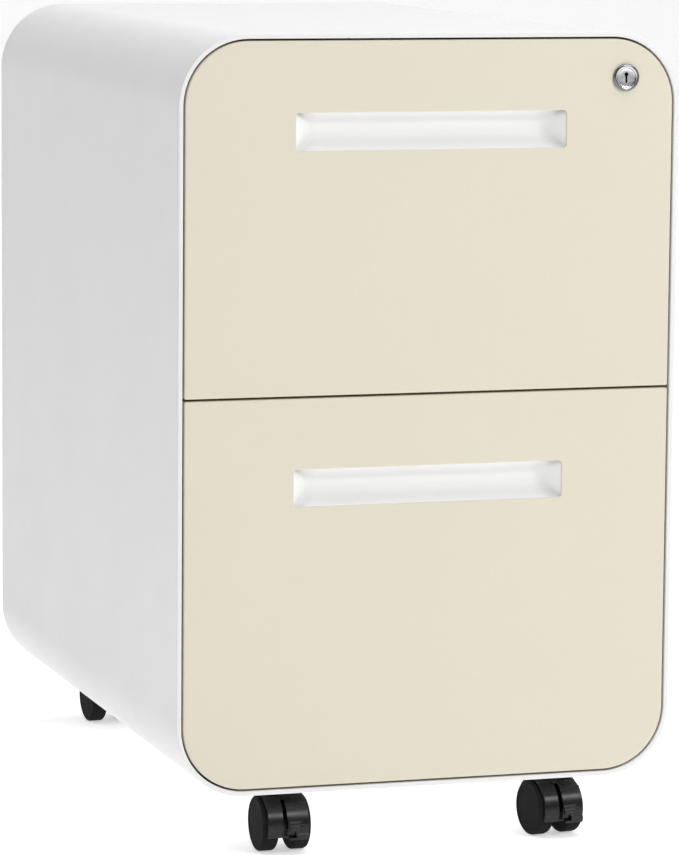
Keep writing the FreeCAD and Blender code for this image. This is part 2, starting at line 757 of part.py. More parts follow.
def make_tray(level):
    """Floor and sides folded from one sheet, with lips on top and flanges at the front."""
    name = "tray_" + level
    sheet = dim.tray_sheet
    low, high = tray_span(level)
    y = (front + dim.front_depth, front + dim.tray_end - sheet)
    half = dim.tray_half
    pieces = [box(name + "_floor", (-half, half), y, (low, low + sheet))]
    for side_name, side in (("left", -1), ("right", 1)):
        label = name + "_" + side_name
        pieces.append(box(label + "_side", sided(side, half - sheet, half), y, (low, high)))
        pieces.append(box(label + "_lip", sided(side, half - dim.tray_lip, half), y, (high - sheet, high)))
        pieces.append(box(label + "_flange", sided(side, half - dim.tray_flange, half),
                          (y[0], y[0] + sheet), (low, high - dim.flange_stop)))
    form = fuse(name + "_form", pieces)
    holes = []
    for number, (x, z) in enumerate(front_screw_places(level)):
        start = (x, y[0] - MODEL_END, z)
        radius = dim.screw_radius + dim.hole_clearance
        holes.append(rod(name + "_hole_" + str(number), "Y", start, sheet + 2 * MODEL_END, radius))
    if level == "upper":
        notch_y = (y[0] - MODEL_END, y[0] + dim.front_depth)
        notch_x = (half - dim.tray_flange - MODEL_END, half + MODEL_END)
        notch_low = lock_axis()[1] - dim.cam_length - dim.notch_room
        holes.append(box("cam_notch", notch_x, notch_y, (notch_low, high + MODEL_END)))
    node(name, cut(name, form, holes))


def make_drawer_back(level):
    name = "drawer_back_" + level
    low, high = tray_span(level)
    y = (front + dim.tray_end - dim.tray_sheet, front + dim.tray_end)
    node(name, box(name, (-dim.tray_half, dim.tray_half), y, (low, high)))


def make_file_frame(level):
    """Drop-in frame with the two rails that hanging folders hook onto."""
    name = "file_frame_" + level
    high = tray_span(level)[1]
    sheet = dim.rail_sheet
    y = (front + 2 * dim.front_depth, front + dim.tray_end - dim.rail_room)
    z = (high - dim.rail_drop, high - dim.rail_drop + dim.rail_height)
    pieces = []
    for side_name, side in (("left", -1), ("right", 1)):
        rail_x = sided(side, dim.rail_half - sheet, dim.rail_half)
        pieces.append(box(name + "_rail_" + side_name, rail_x, y, z))
    reach = dim.tray_half - dim.tray_sheet
    for bar_name, bar_y in (("front", (y[0], y[0] + sheet)), ("rear", (y[1] - sheet, y[1]))):
        pieces.append(box(name + "_bar_" + bar_name, (-reach, reach), bar_y, (z[0], high - sheet)))
    node(name, fuse(name, pieces))


def make_front_screws(level):
    name = "front_screws_" + level
    seat_y = front + dim.front_depth + dim.tray_sheet
    screws = [
        pan_screw(name + "_" + str(number), x, seat_y, z, dim.front_shank)
        for number, (x, z) in enumerate(front_screw_places(level))
    ]
    node(name, group(name, screws))


def make_catch(level):
    """Block on the right side of a tray that the lock's hook holds."""
    name = "lock_catch_" + level
    y_start = front + dim.hook_start + dim.hook_depth + dim.catch_gap
    middle = catch_middle(level)
    half = dim.catch_height / 2
    x = (dim.tray_half, dim.tray_half + dim.catch_reach)
    node(name, box(name, x, (y_start, y_start + dim.catch_depth), (middle - half, middle + half)))


def make_drawer(level):
    make_front_panel(level)
    make_inner_panel(level)
    make_handle_cup(level)
    make_tray(level)
    make_drawer_back(level)
    make_file_frame(level)
    make_front_screws(level)
    make_catch(level)


# ---------------------------------------------------------------- lock

def make_lock_housing():
    x, z = lock_axis()
    slope = dim.bezel_slope
    face = front - dim.lock_proud
    rim = rod("bezel_rim", "Y", (x, face + slope, z), dim.lock_proud - slope, dim.bezel_radius)
    cone = doc.addObject("Part::Cone", "bezel_slope")
    bind(cone, Radius1=dim.bezel_radius - slope, Radius2=dim.bezel_radius, Height=slope)
    put(cone, x, face, z, AXES["Y"])
    barrel = rod("lock_barrel", "Y", (x, front, z), dim.barrel_length, dim.barrel_radius)
    form = fuse("lock_form", [rim, cone, barrel])
    length = dim.barrel_length + dim.lock_proud + 2 * MODEL_END
    bore = rod("lock_bore", "Y", (x, face - MODEL_END, z), length, dim.plug_radius + dim.plug_clearance)
    node("lock_housing", cut("lock_housing", form, [bore]))


def make_lock_nut():
    x, z = lock_axis()
    start = (x, front + dim.front_depth, z)
    disc = rod("nut_disc", "Y", start, dim.nut_height, dim.nut_radius)
    bore_start = (x, start[1] - MODEL_END, z)
    bore = rod("nut_bore", "Y", bore_start, dim.nut_height + 2 * MODEL_END, dim.barrel_radius)
    node("lock_nut", cut("lock_nut", disc, [bore]))


def make_lock_plug():
    x, z = lock_axis()
    face = front - dim.plug_inset
    length = dim.plug_inset + dim.barrel_length + dim.plug_tail
    solid = rod("plug_solid", "Y", (x, face, z), length, dim.plug_radius)
    width = dim.key_width / 2
    height = dim.key_height / 2
    slot = box("key_slot", (x - width, x + width), (face - MODEL_END, face + dim.key_depth),
               (z - height, z + height))
    node("lock_plug", cut("lock_plug", solid, [slot]))


def make_lock_cam():
    """Arm behind the plug, hanging down while the lock is open."""
    x, z = lock_axis()
    y = front + dim.barrel_length + dim.plug_tail
    disc = rod("cam_disc", "Y", (x, y, z), dim.cam_sheet, dim.plug_radius)
    half = dim.cam_width / 2
    arm = box("cam_arm", (x - half, x + half), (y, y + dim.cam_sheet), (z - dim.cam_length, z))
    node("lock_cam", fuse("lock_cam", [disc, arm]))


def make_lock_bar():
    """Upright strip in the right front post, with a hook for each drawer and a tab welded on for the cam."""
    lock_z = lock_axis()[1]
    bar_x = (dim.bar_x, dim.bar_x + dim.bar_sheet)
    reach_x = (dim.hook_x, dim.bar_x)
    bar_y = (front + dim.bar_start, front + dim.bar_start + dim.bar_width)
    tab_low = lock_z + dim.cam_width / 2 + dim.tab_gap - dim.bar_travel
    tab_z = (tab_low, tab_low + dim.bar_sheet)
    pieces = [
        box("bar_strip", bar_x, bar_y, (hook_rest_low(catch_middle("lower")) - dim.bar_tail, tab_z[1])),
        box("bar_tab", reach_x, (front + dim.slide_start, bar_y[1]), tab_z),
    ]
    for level in ("upper", "lower"):
        hook_y = (front + dim.hook_start, front + dim.hook_start + dim.hook_depth)
        low = hook_rest_low(catch_middle(level))
        pieces.append(box("bar_hook_" + level, reach_x, hook_y, (low, low + dim.hook_height)))
    node("lock_bar", group("lock_bar", pieces))


# ---------------------------------------------------------------- casters

def wheel_axis():
    """(y, z) of the wheel axis in a caster's own frame."""
    return -dim.trail, dim.wheel_radius - dim.ground_gap


def place_caster(thing, x, y, yaw):
    put(thing, x, y, base, FreeCAD.Rotation(FreeCAD.Vector(0, 0, 1), yaw))


def make_caster_plate(name, x, y):
    """Square plate with the swivel pin riveted into it; it doesn't turn with the hood."""
    half = dim.plate_half
    plate = box(name + "_plate", (-half, half), (-half, half), (-dim.plate_sheet, 0))
    pin_low = -dim.plate_sheet - dim.kingpin_length
    kingpin = rod(name + "_kingpin", "Z", (0, 0, pin_low), dim.kingpin_length, dim.kingpin_radius)
    form = fuse(name + "_plate_form", [plate, kingpin])
    holes = []
    for step_x in (-1, 1):
        for step_y in (-1, 1):
            start = (dim.bolt_half * step_x, dim.bolt_half * step_y, -dim.plate_sheet - MODEL_END)
            label = name + "_plate_hole_" + str(len(holes))
            holes.append(rod(label, "Z", start, dim.plate_sheet + 2 * MODEL_END,
                             dim.bolt_radius + dim.hole_clearance))
    plate_node = node("caster_plate_" + name, cut(name + "_plate_drilled", form, holes))
    place_caster(plate_node, x, y, 0)


def make_caster_hood(name, x, y, yaw):
    """Moulded body over the wheels: hood, web between the wheels, hub and swivel boss."""
    axis = wheel_axis()
    space = dim.wheel_radius + dim.hood_space
    outer = space + dim.hood_wall
    width = (-dim.hood_half, dim.hood_half)
    web = (-dim.web_half, dim.web_half)
    boss_top = -dim.plate_sheet - dim.swivel_gap
    boss_low = boss_top - dim.boss_depth
    cover = sector(name + "_cover", width, axis, outer, HOOD_FRONT_ANGLE, dim.hood_arc)
    boss = rod(name + "_boss", "Z", (0, 0, boss_low), boss_top - boss_low, dim.boss_radius)
    solid = fuse(name + "_solid", [cover, boss])
    space_start = (-dim.hood_half - MODEL_END, axis[0], axis[1])
    wheel_space = rod(name + "_space", "X", space_start, 2 * dim.hood_half + 2 * MODEL_END, space)
    covers = cut(name + "_covers", solid, [wheel_space])
    web_plate = sector(name + "_web", web, axis, outer - dim.web_step, HOOD_FRONT_ANGLE, dim.hood_arc)
    hub = rod(name + "_hub", "X", (-dim.web_half, axis[0], axis[1]), 2 * dim.web_half, dim.hub_radius)
    body = fuse(name + "_body", [covers, web_plate, hub])
    axle_bore = rod(name + "_axle_bore", "X", (-dim.hood_half, axis[0], axis[1]), 2 * dim.hood_half,
                    dim.axle_radius + dim.running_clearance)
    pin_low = -dim.plate_sheet - dim.kingpin_length - dim.pin_room
    pin_radius = dim.kingpin_radius + dim.running_clearance
    pin_bore = rod(name + "_pin_bore", "Z", (0, 0, pin_low), -pin_low, pin_radius)
    place_caster(node("caster_hood_" + name, cut(name + "_hood", body, [axle_bore, pin_bore])), x, y, yaw)


def make_wheel(name, side):
    """One wheel with rounded edges, a dished outer face and a blind bore for the axle."""
    axis = wheel_axis()
    inner_x = dim.wheel_gap / 2
    outer_x = inner_x + dim.wheel_width
    span = sided(side, inner_x, outer_x)
    disc = rod(name + "_disc", "X", (span[0], axis[0], axis[1]), dim.wheel_width, dim.wheel_radius)
    tyre = rounded(name + "_tyre", disc, dim.wheel_radius.value, dim.wheel_round.value)
    bore_x = sided(side, inner_x - MODEL_END, dim.axle_half)
    bore = rod(name + "_bore", "X", (bore_x[0], axis[0], axis[1]), bore_x[1] - bore_x[0], dim.axle_radius)
    dish_x = sided(side, outer_x - dim.dish_depth, outer_x + MODEL_END)
    dish = rod(name + "_dish", "X", (dish_x[0], axis[0], axis[1]), dish_x[1] - dish_x[0], dim.dish_radius)
    return cut(name, tyre, [bore, dish])


def make_wheels(name, x, y, yaw):
    pair = [make_wheel(name + "_wheel_left", -1), make_wheel(name + "_wheel_right", 1)]
    place_caster(node("caster_wheels_" + name, group(name + "_wheels", pair)), x, y, yaw)


def make_axle(name, x, y, yaw):
    axis = wheel_axis()
    axle = rod(name + "_pin", "X", (-dim.axle_half, axis[0], axis[1]), 2 * dim.axle_half, dim.axle_radius)
    place_caster(node("caster_axle_" + name, group(name + "_axle", [axle])), x, y, yaw)


def make_brake_lever(name, x, y, yaw):
    """Curved rocker over the right half of the hood; it slides round the wheel axis."""
    axis = wheel_axis()
    inner = dim.wheel_radius + dim.hood_space + dim.hood_wall + dim.lever_gap
    outer = inner + dim.lever_wall
    width = (dim.lever_start, dim.lever_end)
    plate = sector(name + "_lever_plate", width, axis, outer, LEVER_FRONT_ANGLE, dim.lever_arc)
    toe = sector(name + "_lever_toe", width, axis, outer + dim.toe_depth, LEVER_FRONT_ANGLE, dim.toe_arc)
    form = fuse(name + "_lever_form", [plate, toe])
    clear_start = (dim.lever_start - MODEL_END, axis[0], axis[1])
    clear_length = dim.lever_end - dim.lever_start + 2 * MODEL_END
    clear = rod(name + "_lever_clear", "X", clear_start, clear_length, inner)
    place_caster(node("brake_lever_" + name, cut(name + "_lever", form, [clear])), x, y, yaw)


def make_caster_bolts():
    bolts = []
    for number, (x, y) in enumerate(bolt_places()):
        name = "caster_bolt_" + str(number)
        low = base - dim.plate_sheet
        seat = base + dim.sheet + dim.base_sheet
        shank = rod(name + "_shank", "Z", (x, y, low), seat - low, dim.bolt_radius)
        head = rod(name + "_head", "Z", (x, y, seat), dim.bolt_head_height, dim.bolt_head)
        bolts.append(fuse(name, [shank, head]))
    node("caster_bolts", group("caster_bolts", bolts))


def make_casters():
    for name, x, y, yaw, braked in caster_places():
        make_caster_plate(name, x, y)
        make_caster_hood(name, x, y, yaw)
        make_wheels(name, x, y, yaw)
        make_axle(name, x, y, yaw)
        if braked:
            make_brake_lever(name, x, y, yaw)
    make_caster_bolts()


# ---------------------------------------------------------------- the whole cabinet

def failed(thing):
    return any(word in thing.State for word in ("Invalid", "Error"))


def write_parts():
    doc.recompute()
    broken = [thing.Name for thing in doc.Objects if failed(thing)]
    if broken:
        raise RuntimeError("failed objects: " + ", ".join(broken))
    os.makedirs("parts", exist_ok=True)
    for thing in nodes:
        if thing.Shape.isNull() or not thing.Shape.isValid() or not thing.Shape.Solids:
            raise RuntimeError("bad shape: " + thing.Label)
    for thing in nodes:
        thing.Shape.exportStep(os.path.join("parts", thing.Label + ".step"))
    print(len(nodes), "nodes written")


make_shell()
make_back_panel()
make_back_screws()
for side_word, side_sign in (("left", -1), ("right", 1)):
    make_side_frame(side_word, side_sign)
    for drawer_level in ("upper", "lower"):
        make_slide(drawer_level, side_word, side_sign)
make_base_plate()
make_divider_rail()
for drawer_level in ("upper", "lower"):
    make_drawer(drawer_level)
make_lock_housing()
make_lock_nut()
make_lock_plug()
make_lock_cam()
make_lock_bar()
make_casters()
write_parts()
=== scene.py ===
"""Looks of a two-drawer mobile filing cabinet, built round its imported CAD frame. Lengths in metres."""
import bmesh
import bpy
import json
import math
from mathutils import Matrix, Vector


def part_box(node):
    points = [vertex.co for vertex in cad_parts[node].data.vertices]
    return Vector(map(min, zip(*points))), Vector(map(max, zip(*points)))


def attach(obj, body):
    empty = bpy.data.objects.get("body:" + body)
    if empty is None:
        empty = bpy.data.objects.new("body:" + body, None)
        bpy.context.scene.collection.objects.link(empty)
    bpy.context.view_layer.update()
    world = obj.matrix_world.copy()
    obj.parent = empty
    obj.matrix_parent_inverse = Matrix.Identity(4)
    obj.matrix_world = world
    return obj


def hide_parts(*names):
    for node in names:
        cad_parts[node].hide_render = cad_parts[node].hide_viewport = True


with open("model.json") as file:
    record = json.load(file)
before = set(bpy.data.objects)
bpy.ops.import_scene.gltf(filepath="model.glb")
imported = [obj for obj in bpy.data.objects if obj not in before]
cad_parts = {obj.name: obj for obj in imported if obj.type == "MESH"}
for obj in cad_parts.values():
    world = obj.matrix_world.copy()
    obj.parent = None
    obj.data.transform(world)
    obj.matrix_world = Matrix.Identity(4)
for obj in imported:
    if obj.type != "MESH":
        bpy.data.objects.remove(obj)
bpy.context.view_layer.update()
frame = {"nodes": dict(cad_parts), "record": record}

MM = 0.001

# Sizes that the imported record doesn't state. They are the CAD model's own, in metres.
CORNER_RADIUS = 53 * MM       # outer corner of the shell
SHEET = 1.0 * MM
HEAVY_SHEET = 1.2 * MM
RIM_FACE = 3.7 * MM           # folded rim seen from the front
RIM_DEPTH = 14 * MM
REAR_RIM_DEPTH = 8 * MM
BACK_FLANGE = 16 * MM
REVEAL = 1.5 * MM             # gap between the rim and a drawer front
SQUARE_RADIUS = 1.5 * MM      # corners of a drawer front beside the split
PULL_CORNER = 3 * MM          # corner of a handle opening
PULL_HALF = 105.5 * MM
PULL_HEIGHT = 28 * MM
PULL_DROP = 53 * MM           # top edge of a drawer front to its handle opening
BEND = 0.9 * MM               # rounding of a folded sheet edge

shell_low, shell_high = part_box("shell")
front_y = shell_low.y
rear_y = shell_high.y


# ---------------------------------------------------------------- camera

SENSOR = 36.0                 # mm on the long side of the image
LENS = 188.65                 # mm
VIEW_AZIMUTH = math.radians(17.39)
VIEW_DROP = math.radians(7.566)
VIEW_ROLL = math.radians(0.469)
EYE_SIDE = -1.0558            # from the middle of the cabinet
EYE_AHEAD = 3.1459            # in front of the front plane
EYE_RISE = 0.7131             # above the underside of the shell
NEAREST = 0.1                 # clipping distances
FARTHEST = 60.0


def make_camera():
    """A long lens that sees the cabinet from its front left, a little from above."""
    data = bpy.data.cameras.new("camera")
    data.lens = LENS
    data.sensor_width = SENSOR
    data.clip_start = NEAREST
    data.clip_end = FARTHEST
    camera = bpy.data.objects.new("camera", data)
    bpy.context.scene.collection.objects.link(camera)
    ahead = Vector((math.sin(VIEW_AZIMUTH), math.cos(VIEW_AZIMUTH), 0))
    forward = ahead * math.cos(VIEW_DROP) - Vector((0, 0, math.sin(VIEW_DROP)))
    right = Vector((math.cos(VIEW_AZIMUTH), -math.sin(VIEW_AZIMUTH), 0))
    up = right.cross(forward)
    rolled_right = right * math.cos(VIEW_ROLL) + up * math.sin(VIEW_ROLL)
    rolled_up = up * math.cos(VIEW_ROLL) - right * math.sin(VIEW_ROLL)
    facing = Matrix((rolled_right, rolled_up, -forward)).transposed().to_4x4()
    eye = Vector((EYE_SIDE, front_y - EYE_AHEAD, shell_low.z + EYE_RISE))
    camera.matrix_world = Matrix.Translation(eye) @ facing
    bpy.context.scene.camera = camera


# ---------------------------------------------------------------- materials

def srgb(red, green, blue):
    """Linear colour of an sRGB colour given in 0 to 255."""
    linear = []
    for channel in (red, green, blue):
        share = channel / 255.0
        linear.append(share / 12.92 if share <= 0.04045 else ((share + 0.055) / 1.055) ** 2.4)
    return (*linear, 1.0)


# Painted shade in tight corners, from an ambient occlusion node, used for the top of the handle recess.
SHADE_REACH = 10 * MM        # how near a surface has to be to make a corner tight
SHADE_RANGE = (0.48, 0.92)   # open share of the sky in a tight corner and in the open
SHADE_SAMPLES = 8


class Recipe:
    """A material under construction: its node tree and its surface shader."""

    def __init__(self, name):
        self.material = bpy.data.materials.new(name)
        self.material.use_nodes = True
        self.nodes = self.material.node_tree.nodes
        self.links = self.material.node_tree.links
        self.shader = self.nodes["Principled BSDF"]
        self.place = self.nodes.new("ShaderNodeTexCoord").outputs["Object"]

    def join(self, output, socket):
        self.links.new(output, socket)

    def stretched(self, scale):
        """Object coordinates scaled differently along each axis."""
        mapping = self.nodes.new("ShaderNodeMapping")
        mapping.inputs["Scale"].default_value = scale
        self.join(self.place, mapping.inputs["Vector"])
        return mapping.outputs["Vector"]

    def noise(self, scale, detail=2.0, roughness=0.5, vector=None):
        texture = self.nodes.new("ShaderNodeTexNoise")
        texture.inputs["Scale"].default_value = scale
        texture.inputs["Detail"].default_value = detail
        texture.inputs["Roughness"].default_value = roughness
        self.join(vector or self.place, texture.inputs["Vector"])
        return texture.outputs["Fac"]

    def cells(self, scale):
        texture = self.nodes.new("ShaderNodeTexVoronoi")
        texture.inputs["Scale"].default_value = scale
        self.join(self.place, texture.inputs["Vector"])
        return texture.outputs["Distance"]

    def ranged(self, value, low=0.0, high=1.0, start=0.3, end=0.7):
        """Map a texture value from start..end to low..high."""
        node = self.nodes.new("ShaderNodeMapRange")
        node.inputs["From Min"].default_value = start
        node.inputs["From Max"].default_value = end
        node.inputs["To Min"].default_value = low
        node.inputs["To Max"].default_value = high
        self.join(value, node.inputs["Value"])
        return node.outputs["Result"]

    def openness(self):
        """1 in the open, down to 0 in tight corners."""
        node = self.nodes.new("ShaderNodeAmbientOcclusion")
        node.samples = SHADE_SAMPLES
        node.inputs["Distance"].default_value = SHADE_REACH
        start, end = SHADE_RANGE
        return self.ranged(node.outputs["AO"], start=start, end=end)

    def blend(self, share, first, second):
        """Mix two colours, each a constant or a socket."""
        node = self.nodes.new("ShaderNodeMix")
        node.data_type = "RGBA"
        self.join(share, node.inputs["Factor"])
        for name, colour in (("A", first), ("B", second)):
            socket = [s for s in node.inputs if s.name == name and s.type == "RGBA"][0]
            if isinstance(colour, tuple):
                socket.default_value = colour
            else:
                self.join(colour, socket)
        return [s for s in node.outputs if s.type == "RGBA"][0]

    def bump(self, height, strength, distance, before=None):
        node = self.nodes.new("ShaderNodeBump")
        node.inputs["Strength"].default_value = strength
        node.inputs["Distance"].default_value = distance
        self.join(height, node.inputs["Height"])
        if before is not None:
            self.join(before, node.inputs["Normal"])
        return node.outputs["Normal"]

    def set(self, **values):
        for name, value in values.items():
            self.shader.inputs[name.replace("_", " ")].default_value = value

    def wire(self, colour=None, roughness=None, normal=None):
        for name, output in (("Base Color", colour), ("Roughness", roughness), ("Normal", normal)):
            if output is not None:
                self.join(output, self.shader.inputs[name])
        return self.material


def darker(colour, share):
    return (colour[0] * share, colour[1] * share, colour[2] * share, 1.0)


def powder_coat(name, colour, smooth, rough, pocket=None):
    """Baked powder paint: fine orange peel, faint cloudiness and slightly uneven gloss.

    smooth and rough are the least and the greatest roughness. pocket is how much of the colour is left in
    tight corners: painted shade, darkened by an ambient occlusion node.
    """
    made = Recipe(name)
    cloud = made.ranged(made.noise(scale=9.0, detail=3.0))
    speck = made.ranged(made.noise(scale=1500.0, detail=1.0), start=0.35, end=0.65)
    tint = made.blend(cloud, darker(colour, 0.978), colour)
    coat_colour = made.blend(speck, darker(colour, 0.965), tint)
    # Painted shade: the colour is darkened where ambient occlusion finds a tight corner.
    if pocket:
        coat_colour = made.blend(made.openness(), darker(colour, pocket), coat_colour)
    peel = made.bump(made.noise(scale=420.0, detail=2.0), strength=0.10, distance=0.6 * MM)
    fine = made.bump(made.noise(scale=1700.0, detail=1.0), strength=0.08, distance=0.3 * MM, before=peel)
    gloss = made.ranged(made.noise(scale=38.0, detail=4.0), smooth, rough)
    made.set(Specular_IOR_Level=0.5)
    return made.wire(coat_colour, gloss, fine)


def moulded_plastic(name, colour, smooth, rough, pebble, shine):
    """Injection-moulded plastic: fine pebbled texture, uneven sheen and specks of dust."""
    made = Recipe(name)
    cloud = made.ranged(made.noise(scale=60.0, detail=3.0))
    dust = made.ranged(made.noise(scale=900.0, detail=3.0, roughness=0.7), start=0.45, end=0.75)
    base = made.blend(cloud, darker(colour, 0.9), colour)
    dusty = made.blend(dust, base, darker(colour, 1.25))
    texture = made.bump(made.cells(scale=2600.0), strength=pebble, distance=0.2 * MM)
    made.set(Specular_IOR_Level=shine)
    gloss = made.ranged(made.noise(scale=120.0, detail=3.0), smooth, rough)
    return made.wire(dusty, gloss, texture)


def rolled_metal(name, colour, smooth, rough, stretch, scratch):
    """Metal with fine lines along one direction and cloudy plating."""
    made = Recipe(name)
    made.set(Metallic=1.0)
    lines = made.noise(scale=1.0, detail=4.0, roughness=0.6, vector=made.stretched(stretch))
    cloud = made.noise(scale=45.0, detail=3.0)
    shade = made.blend(made.ranged(cloud), darker(colour, 0.86), colour)
    streak = made.blend(made.ranged(lines), darker(colour, 0.9), shade)
    normal = made.bump(lines, strength=scratch, distance=0.2 * MM)
    return made.wire(streak, made.ranged(cloud, smooth, rough), normal)


FLOOR_GLOW = 0.50             # a light-box floor, which keeps the ground pale under the cabinet
FLOOR_COLOUR = (0.93, 0.93, 0.93, 1.0)
LIGHT_COLOUR = (1.0, 1.0, 1.0, 1.0)


def floor_paint():
    made = Recipe("floor_paint")
    cloud = made.ranged(made.noise(scale=1.3, detail=4.0))
    made.set(Specular_IOR_Level=0.2, Emission_Color=LIGHT_COLOUR, Emission_Strength=FLOOR_GLOW)
    colour = made.blend(cloud, darker(FLOOR_COLOUR, 0.985), FLOOR_COLOUR)
    return made.wire(colour, made.ranged(made.noise(scale=5.0), 0.6, 0.7))


WHITE = srgb(235, 235, 235)
CREAM = srgb(223, 216, 198)
CUP_WHITE = srgb(250, 250, 250)
ZINC = (0.62, 0.63, 0.65, 1.0)
CHROME = (0.84, 0.84, 0.86, 1.0)
# A darker copy of the chrome, for painted dark reflection on the lock's bezel.
DARK_REFLECTION_COLOUR = (0.26, 0.26, 0.27, 1.0)
BLACK = (0.014, 0.014, 0.015, 1.0)
ROLLED = (900, 14, 900)       # lines drawn out along the depth
POLISHED = (500, 500, 500)    # no direction

paints = {
    "white_paint": powder_coat("white_powder_coat", WHITE, smooth=0.36, rough=0.46),
    "cream_paint": powder_coat("cream_powder_coat", CREAM, smooth=0.50, rough=0.60),
    # The scoop's colour takes painted shade in its tight corners.
    "cup_plastic": powder_coat("cup_lacquer", CUP_WHITE, smooth=0.42, rough=0.52, pocket=0.42),
    "zinc_steel": rolled_metal("zinc_plated_steel", ZINC, 0.26, 0.42, ROLLED, scratch=0.10),
    "lock_chrome": rolled_metal("polished_chrome", CHROME, 0.16, 0.28, POLISHED, scratch=0.02),
    "wheel_black": moulded_plastic("wheel_nylon", BLACK, 0.60, 0.72, pebble=0.08, shine=0.04),
    "hood_black": moulded_plastic("hood_nylon", darker(BLACK, 0.4), 0.24, 0.32, pebble=0.04, shine=0.36),
}
# Darker copy of the chrome: painted dark reflection for most of the bezel.
dark_reflection_chrome = rolled_metal("dark_reflection_chrome", DARK_REFLECTION_COLOUR, 0.10, 0.20, POLISHED, scratch=0.02)


def dress_frame():
    """Give every CAD node the procedural material of its slot."""
    slots = {entry["node"]: entry["material_slot"] for entry in frame["record"]["subparts"]}
    for name, thing in frame["nodes"].items():
        for slot in thing.material_slots:
            slot.material = paints[slots[name]]


# ---------------------------------------------------------------- mesh building

SHARP = math.radians(32)      # least angle between two faces that shows as an edge
MERGE = 1e-6                  # vertices nearer than this are one


def finish_mesh(name, mesh, slot, body, replaced=(), weighted=True, sharp=SHARP):
    """Turn a bmesh into a piece with its material, its body and the nodes that it stands for."""
    bmesh.ops.remove_doubles(mesh, verts=mesh.verts, dist=MERGE)
    bmesh.ops.recalc_face_normals(mesh, faces=mesh.faces)
    for face in mesh.faces:
        face.smooth = True
    for line in mesh.edges:
        line.smooth = len(line.link_faces) == 2 and line.calc_face_angle(0.0) < sharp
    data = bpy.data.meshes.new(name)
    mesh.to_mesh(data)
    mesh.free()
    data.materials.append(paints[slot])
    piece = bpy.data.objects.new(name, data)
    bpy.context.scene.collection.objects.link(piece)
    if weighted:
        normals = piece.modifiers.new("weighted_normals", "WEIGHTED_NORMAL")
        normals.keep_sharp = True
    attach(piece, body)
    if replaced:
        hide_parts(*replaced)
    return piece


def arc(centre, radius, start, end, steps):
    """Points of an arc in the plane, angles in degrees."""
    points = []
    for step in range(steps + 1):
        angle = math.radians(start + (end - start) * step / steps)
        points.append((centre[0] + radius * math.cos(angle), centre[1] + radius * math.sin(angle)))
    return points


CORNER_STEPS = 20
LEAST_RADIUS = 0.15 * MM      # an inset corner stays rounded, so that every loop has the same points


class Outline:
    """A rounded rectangle in X and Z whose loops all have the same number of points."""

    def __init__(self, x, z, low_radius, high_radius):
        self.x, self.z = x, z
        self.low_radius, self.high_radius = low_radius, high_radius

    def loop(self, inset=0.0):
        """Points from the lower right corner round to the lower left one."""
        low = max(self.low_radius - inset, LEAST_RADIUS)
        high = max(self.high_radius - inset, LEAST_RADIUS)
        x0, x1 = self.x[0] + inset, self.x[1] - inset
        z0, z1 = self.z[0] + inset, self.z[1] - inset
        points = arc((x1 - low, z0 + low), low, -90, 0, CORNER_STEPS)
        points += arc((x1 - high, z1 - high), high, 0, 90, CORNER_STEPS)
        points += arc((x0 + high, z1 - high), high, 90, 180, CORNER_STEPS)
        points += arc((x0 + low, z0 + low), low, 180, 270, CORNER_STEPS)
        return points


def add_ring(mesh, loop, y):
    return [mesh.verts.new((x, y, z)) for x, z in loop]


def bridge(mesh, first, second, closed=True):
    count = len(first)
    for step in range(count if closed else count - 1):
        after = (step + 1) % count
        mesh.faces.new((first[step], first[after], second[after], second[step]))


def sweep(mesh, outline, section, closed):
    """Carry a section of (inset, y) points round an outline. Returns the rings."""
    rings = [add_ring(mesh, outline.loop(inset), y) for inset, y in section]
    for first, second in zip(rings, rings[1:]):
        bridge(mesh, first, second)
    if closed:
        bridge(mesh, rings[-1], rings[0])
    return rings


def fill_between(mesh, rings):
    """Fill the flat face between an outer ring and any rings of holes inside it."""
    edges = []
    for ring in rings:
        for step, corner in enumerate(ring):
            following = ring[(step + 1) % len(ring)]
            edges.append(mesh.edges.get((corner, following)) or mesh.edges.new((corner, following)))
    bmesh.ops.triangle_fill(mesh, use_beauty=True, use_dissolve=False, edges=edges)


# ---------------------------------------------------------------- shell and fronts

BEND_STEPS = 5


def make_shell():
    """One sheet round the body, with a rim folded in at both ends and a flange for the back panel."""
    width, height = (shell_low.x, shell_high.x), (shell_low.z, shell_high.z)
    outline = Outline(width, height, CORNER_RADIUS, CORNER_RADIUS)
    flange_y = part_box("back_panel")[0].y - SHEET
    lip = RIM_FACE - SHEET
    fold = arc((0, 0), BEND, 0, 90, BEND_STEPS)
    unfold = fold[::-1]
    section = [(BEND - dx, front_y + BEND - dy) for dx, dy in fold]
    section += [(RIM_FACE - BEND + dx, front_y + BEND - dy) for dx, dy in unfold]
    section += [(RIM_FACE, front_y + RIM_DEPTH), (lip, front_y + RIM_DEPTH), (lip, front_y + SHEET)]
    section += [(SHEET, front_y + SHEET), (SHEET, flange_y), (BACK_FLANGE, flange_y)]
    section += [(BACK_FLANGE, flange_y + SHEET), (SHEET, flange_y + SHEET), (SHEET, rear_y - SHEET)]
    section += [(lip, rear_y - SHEET), (lip, rear_y - REAR_RIM_DEPTH), (RIM_FACE, rear_y - REAR_RIM_DEPTH)]
    section += [(RIM_FACE - BEND + dx, rear_y - BEND + dy) for dx, dy in fold]
    section += [(BEND - dx, rear_y - BEND + dy) for dx, dy in unfold]
    mesh = bmesh.new()
    sweep(mesh, outline, section, True)
    finish_mesh("outer_shell", mesh, "white_paint", "cabinet", ["shell"])


def front_outline(level):
    low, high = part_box("front_panel_" + level)
    large = CORNER_RADIUS - RIM_FACE - REVEAL
    radii = (SQUARE_RADIUS, large) if level == "upper" else (large, SQUARE_RADIUS)
    return Outline((low.x, high.x), (low.z, high.z), *radii)


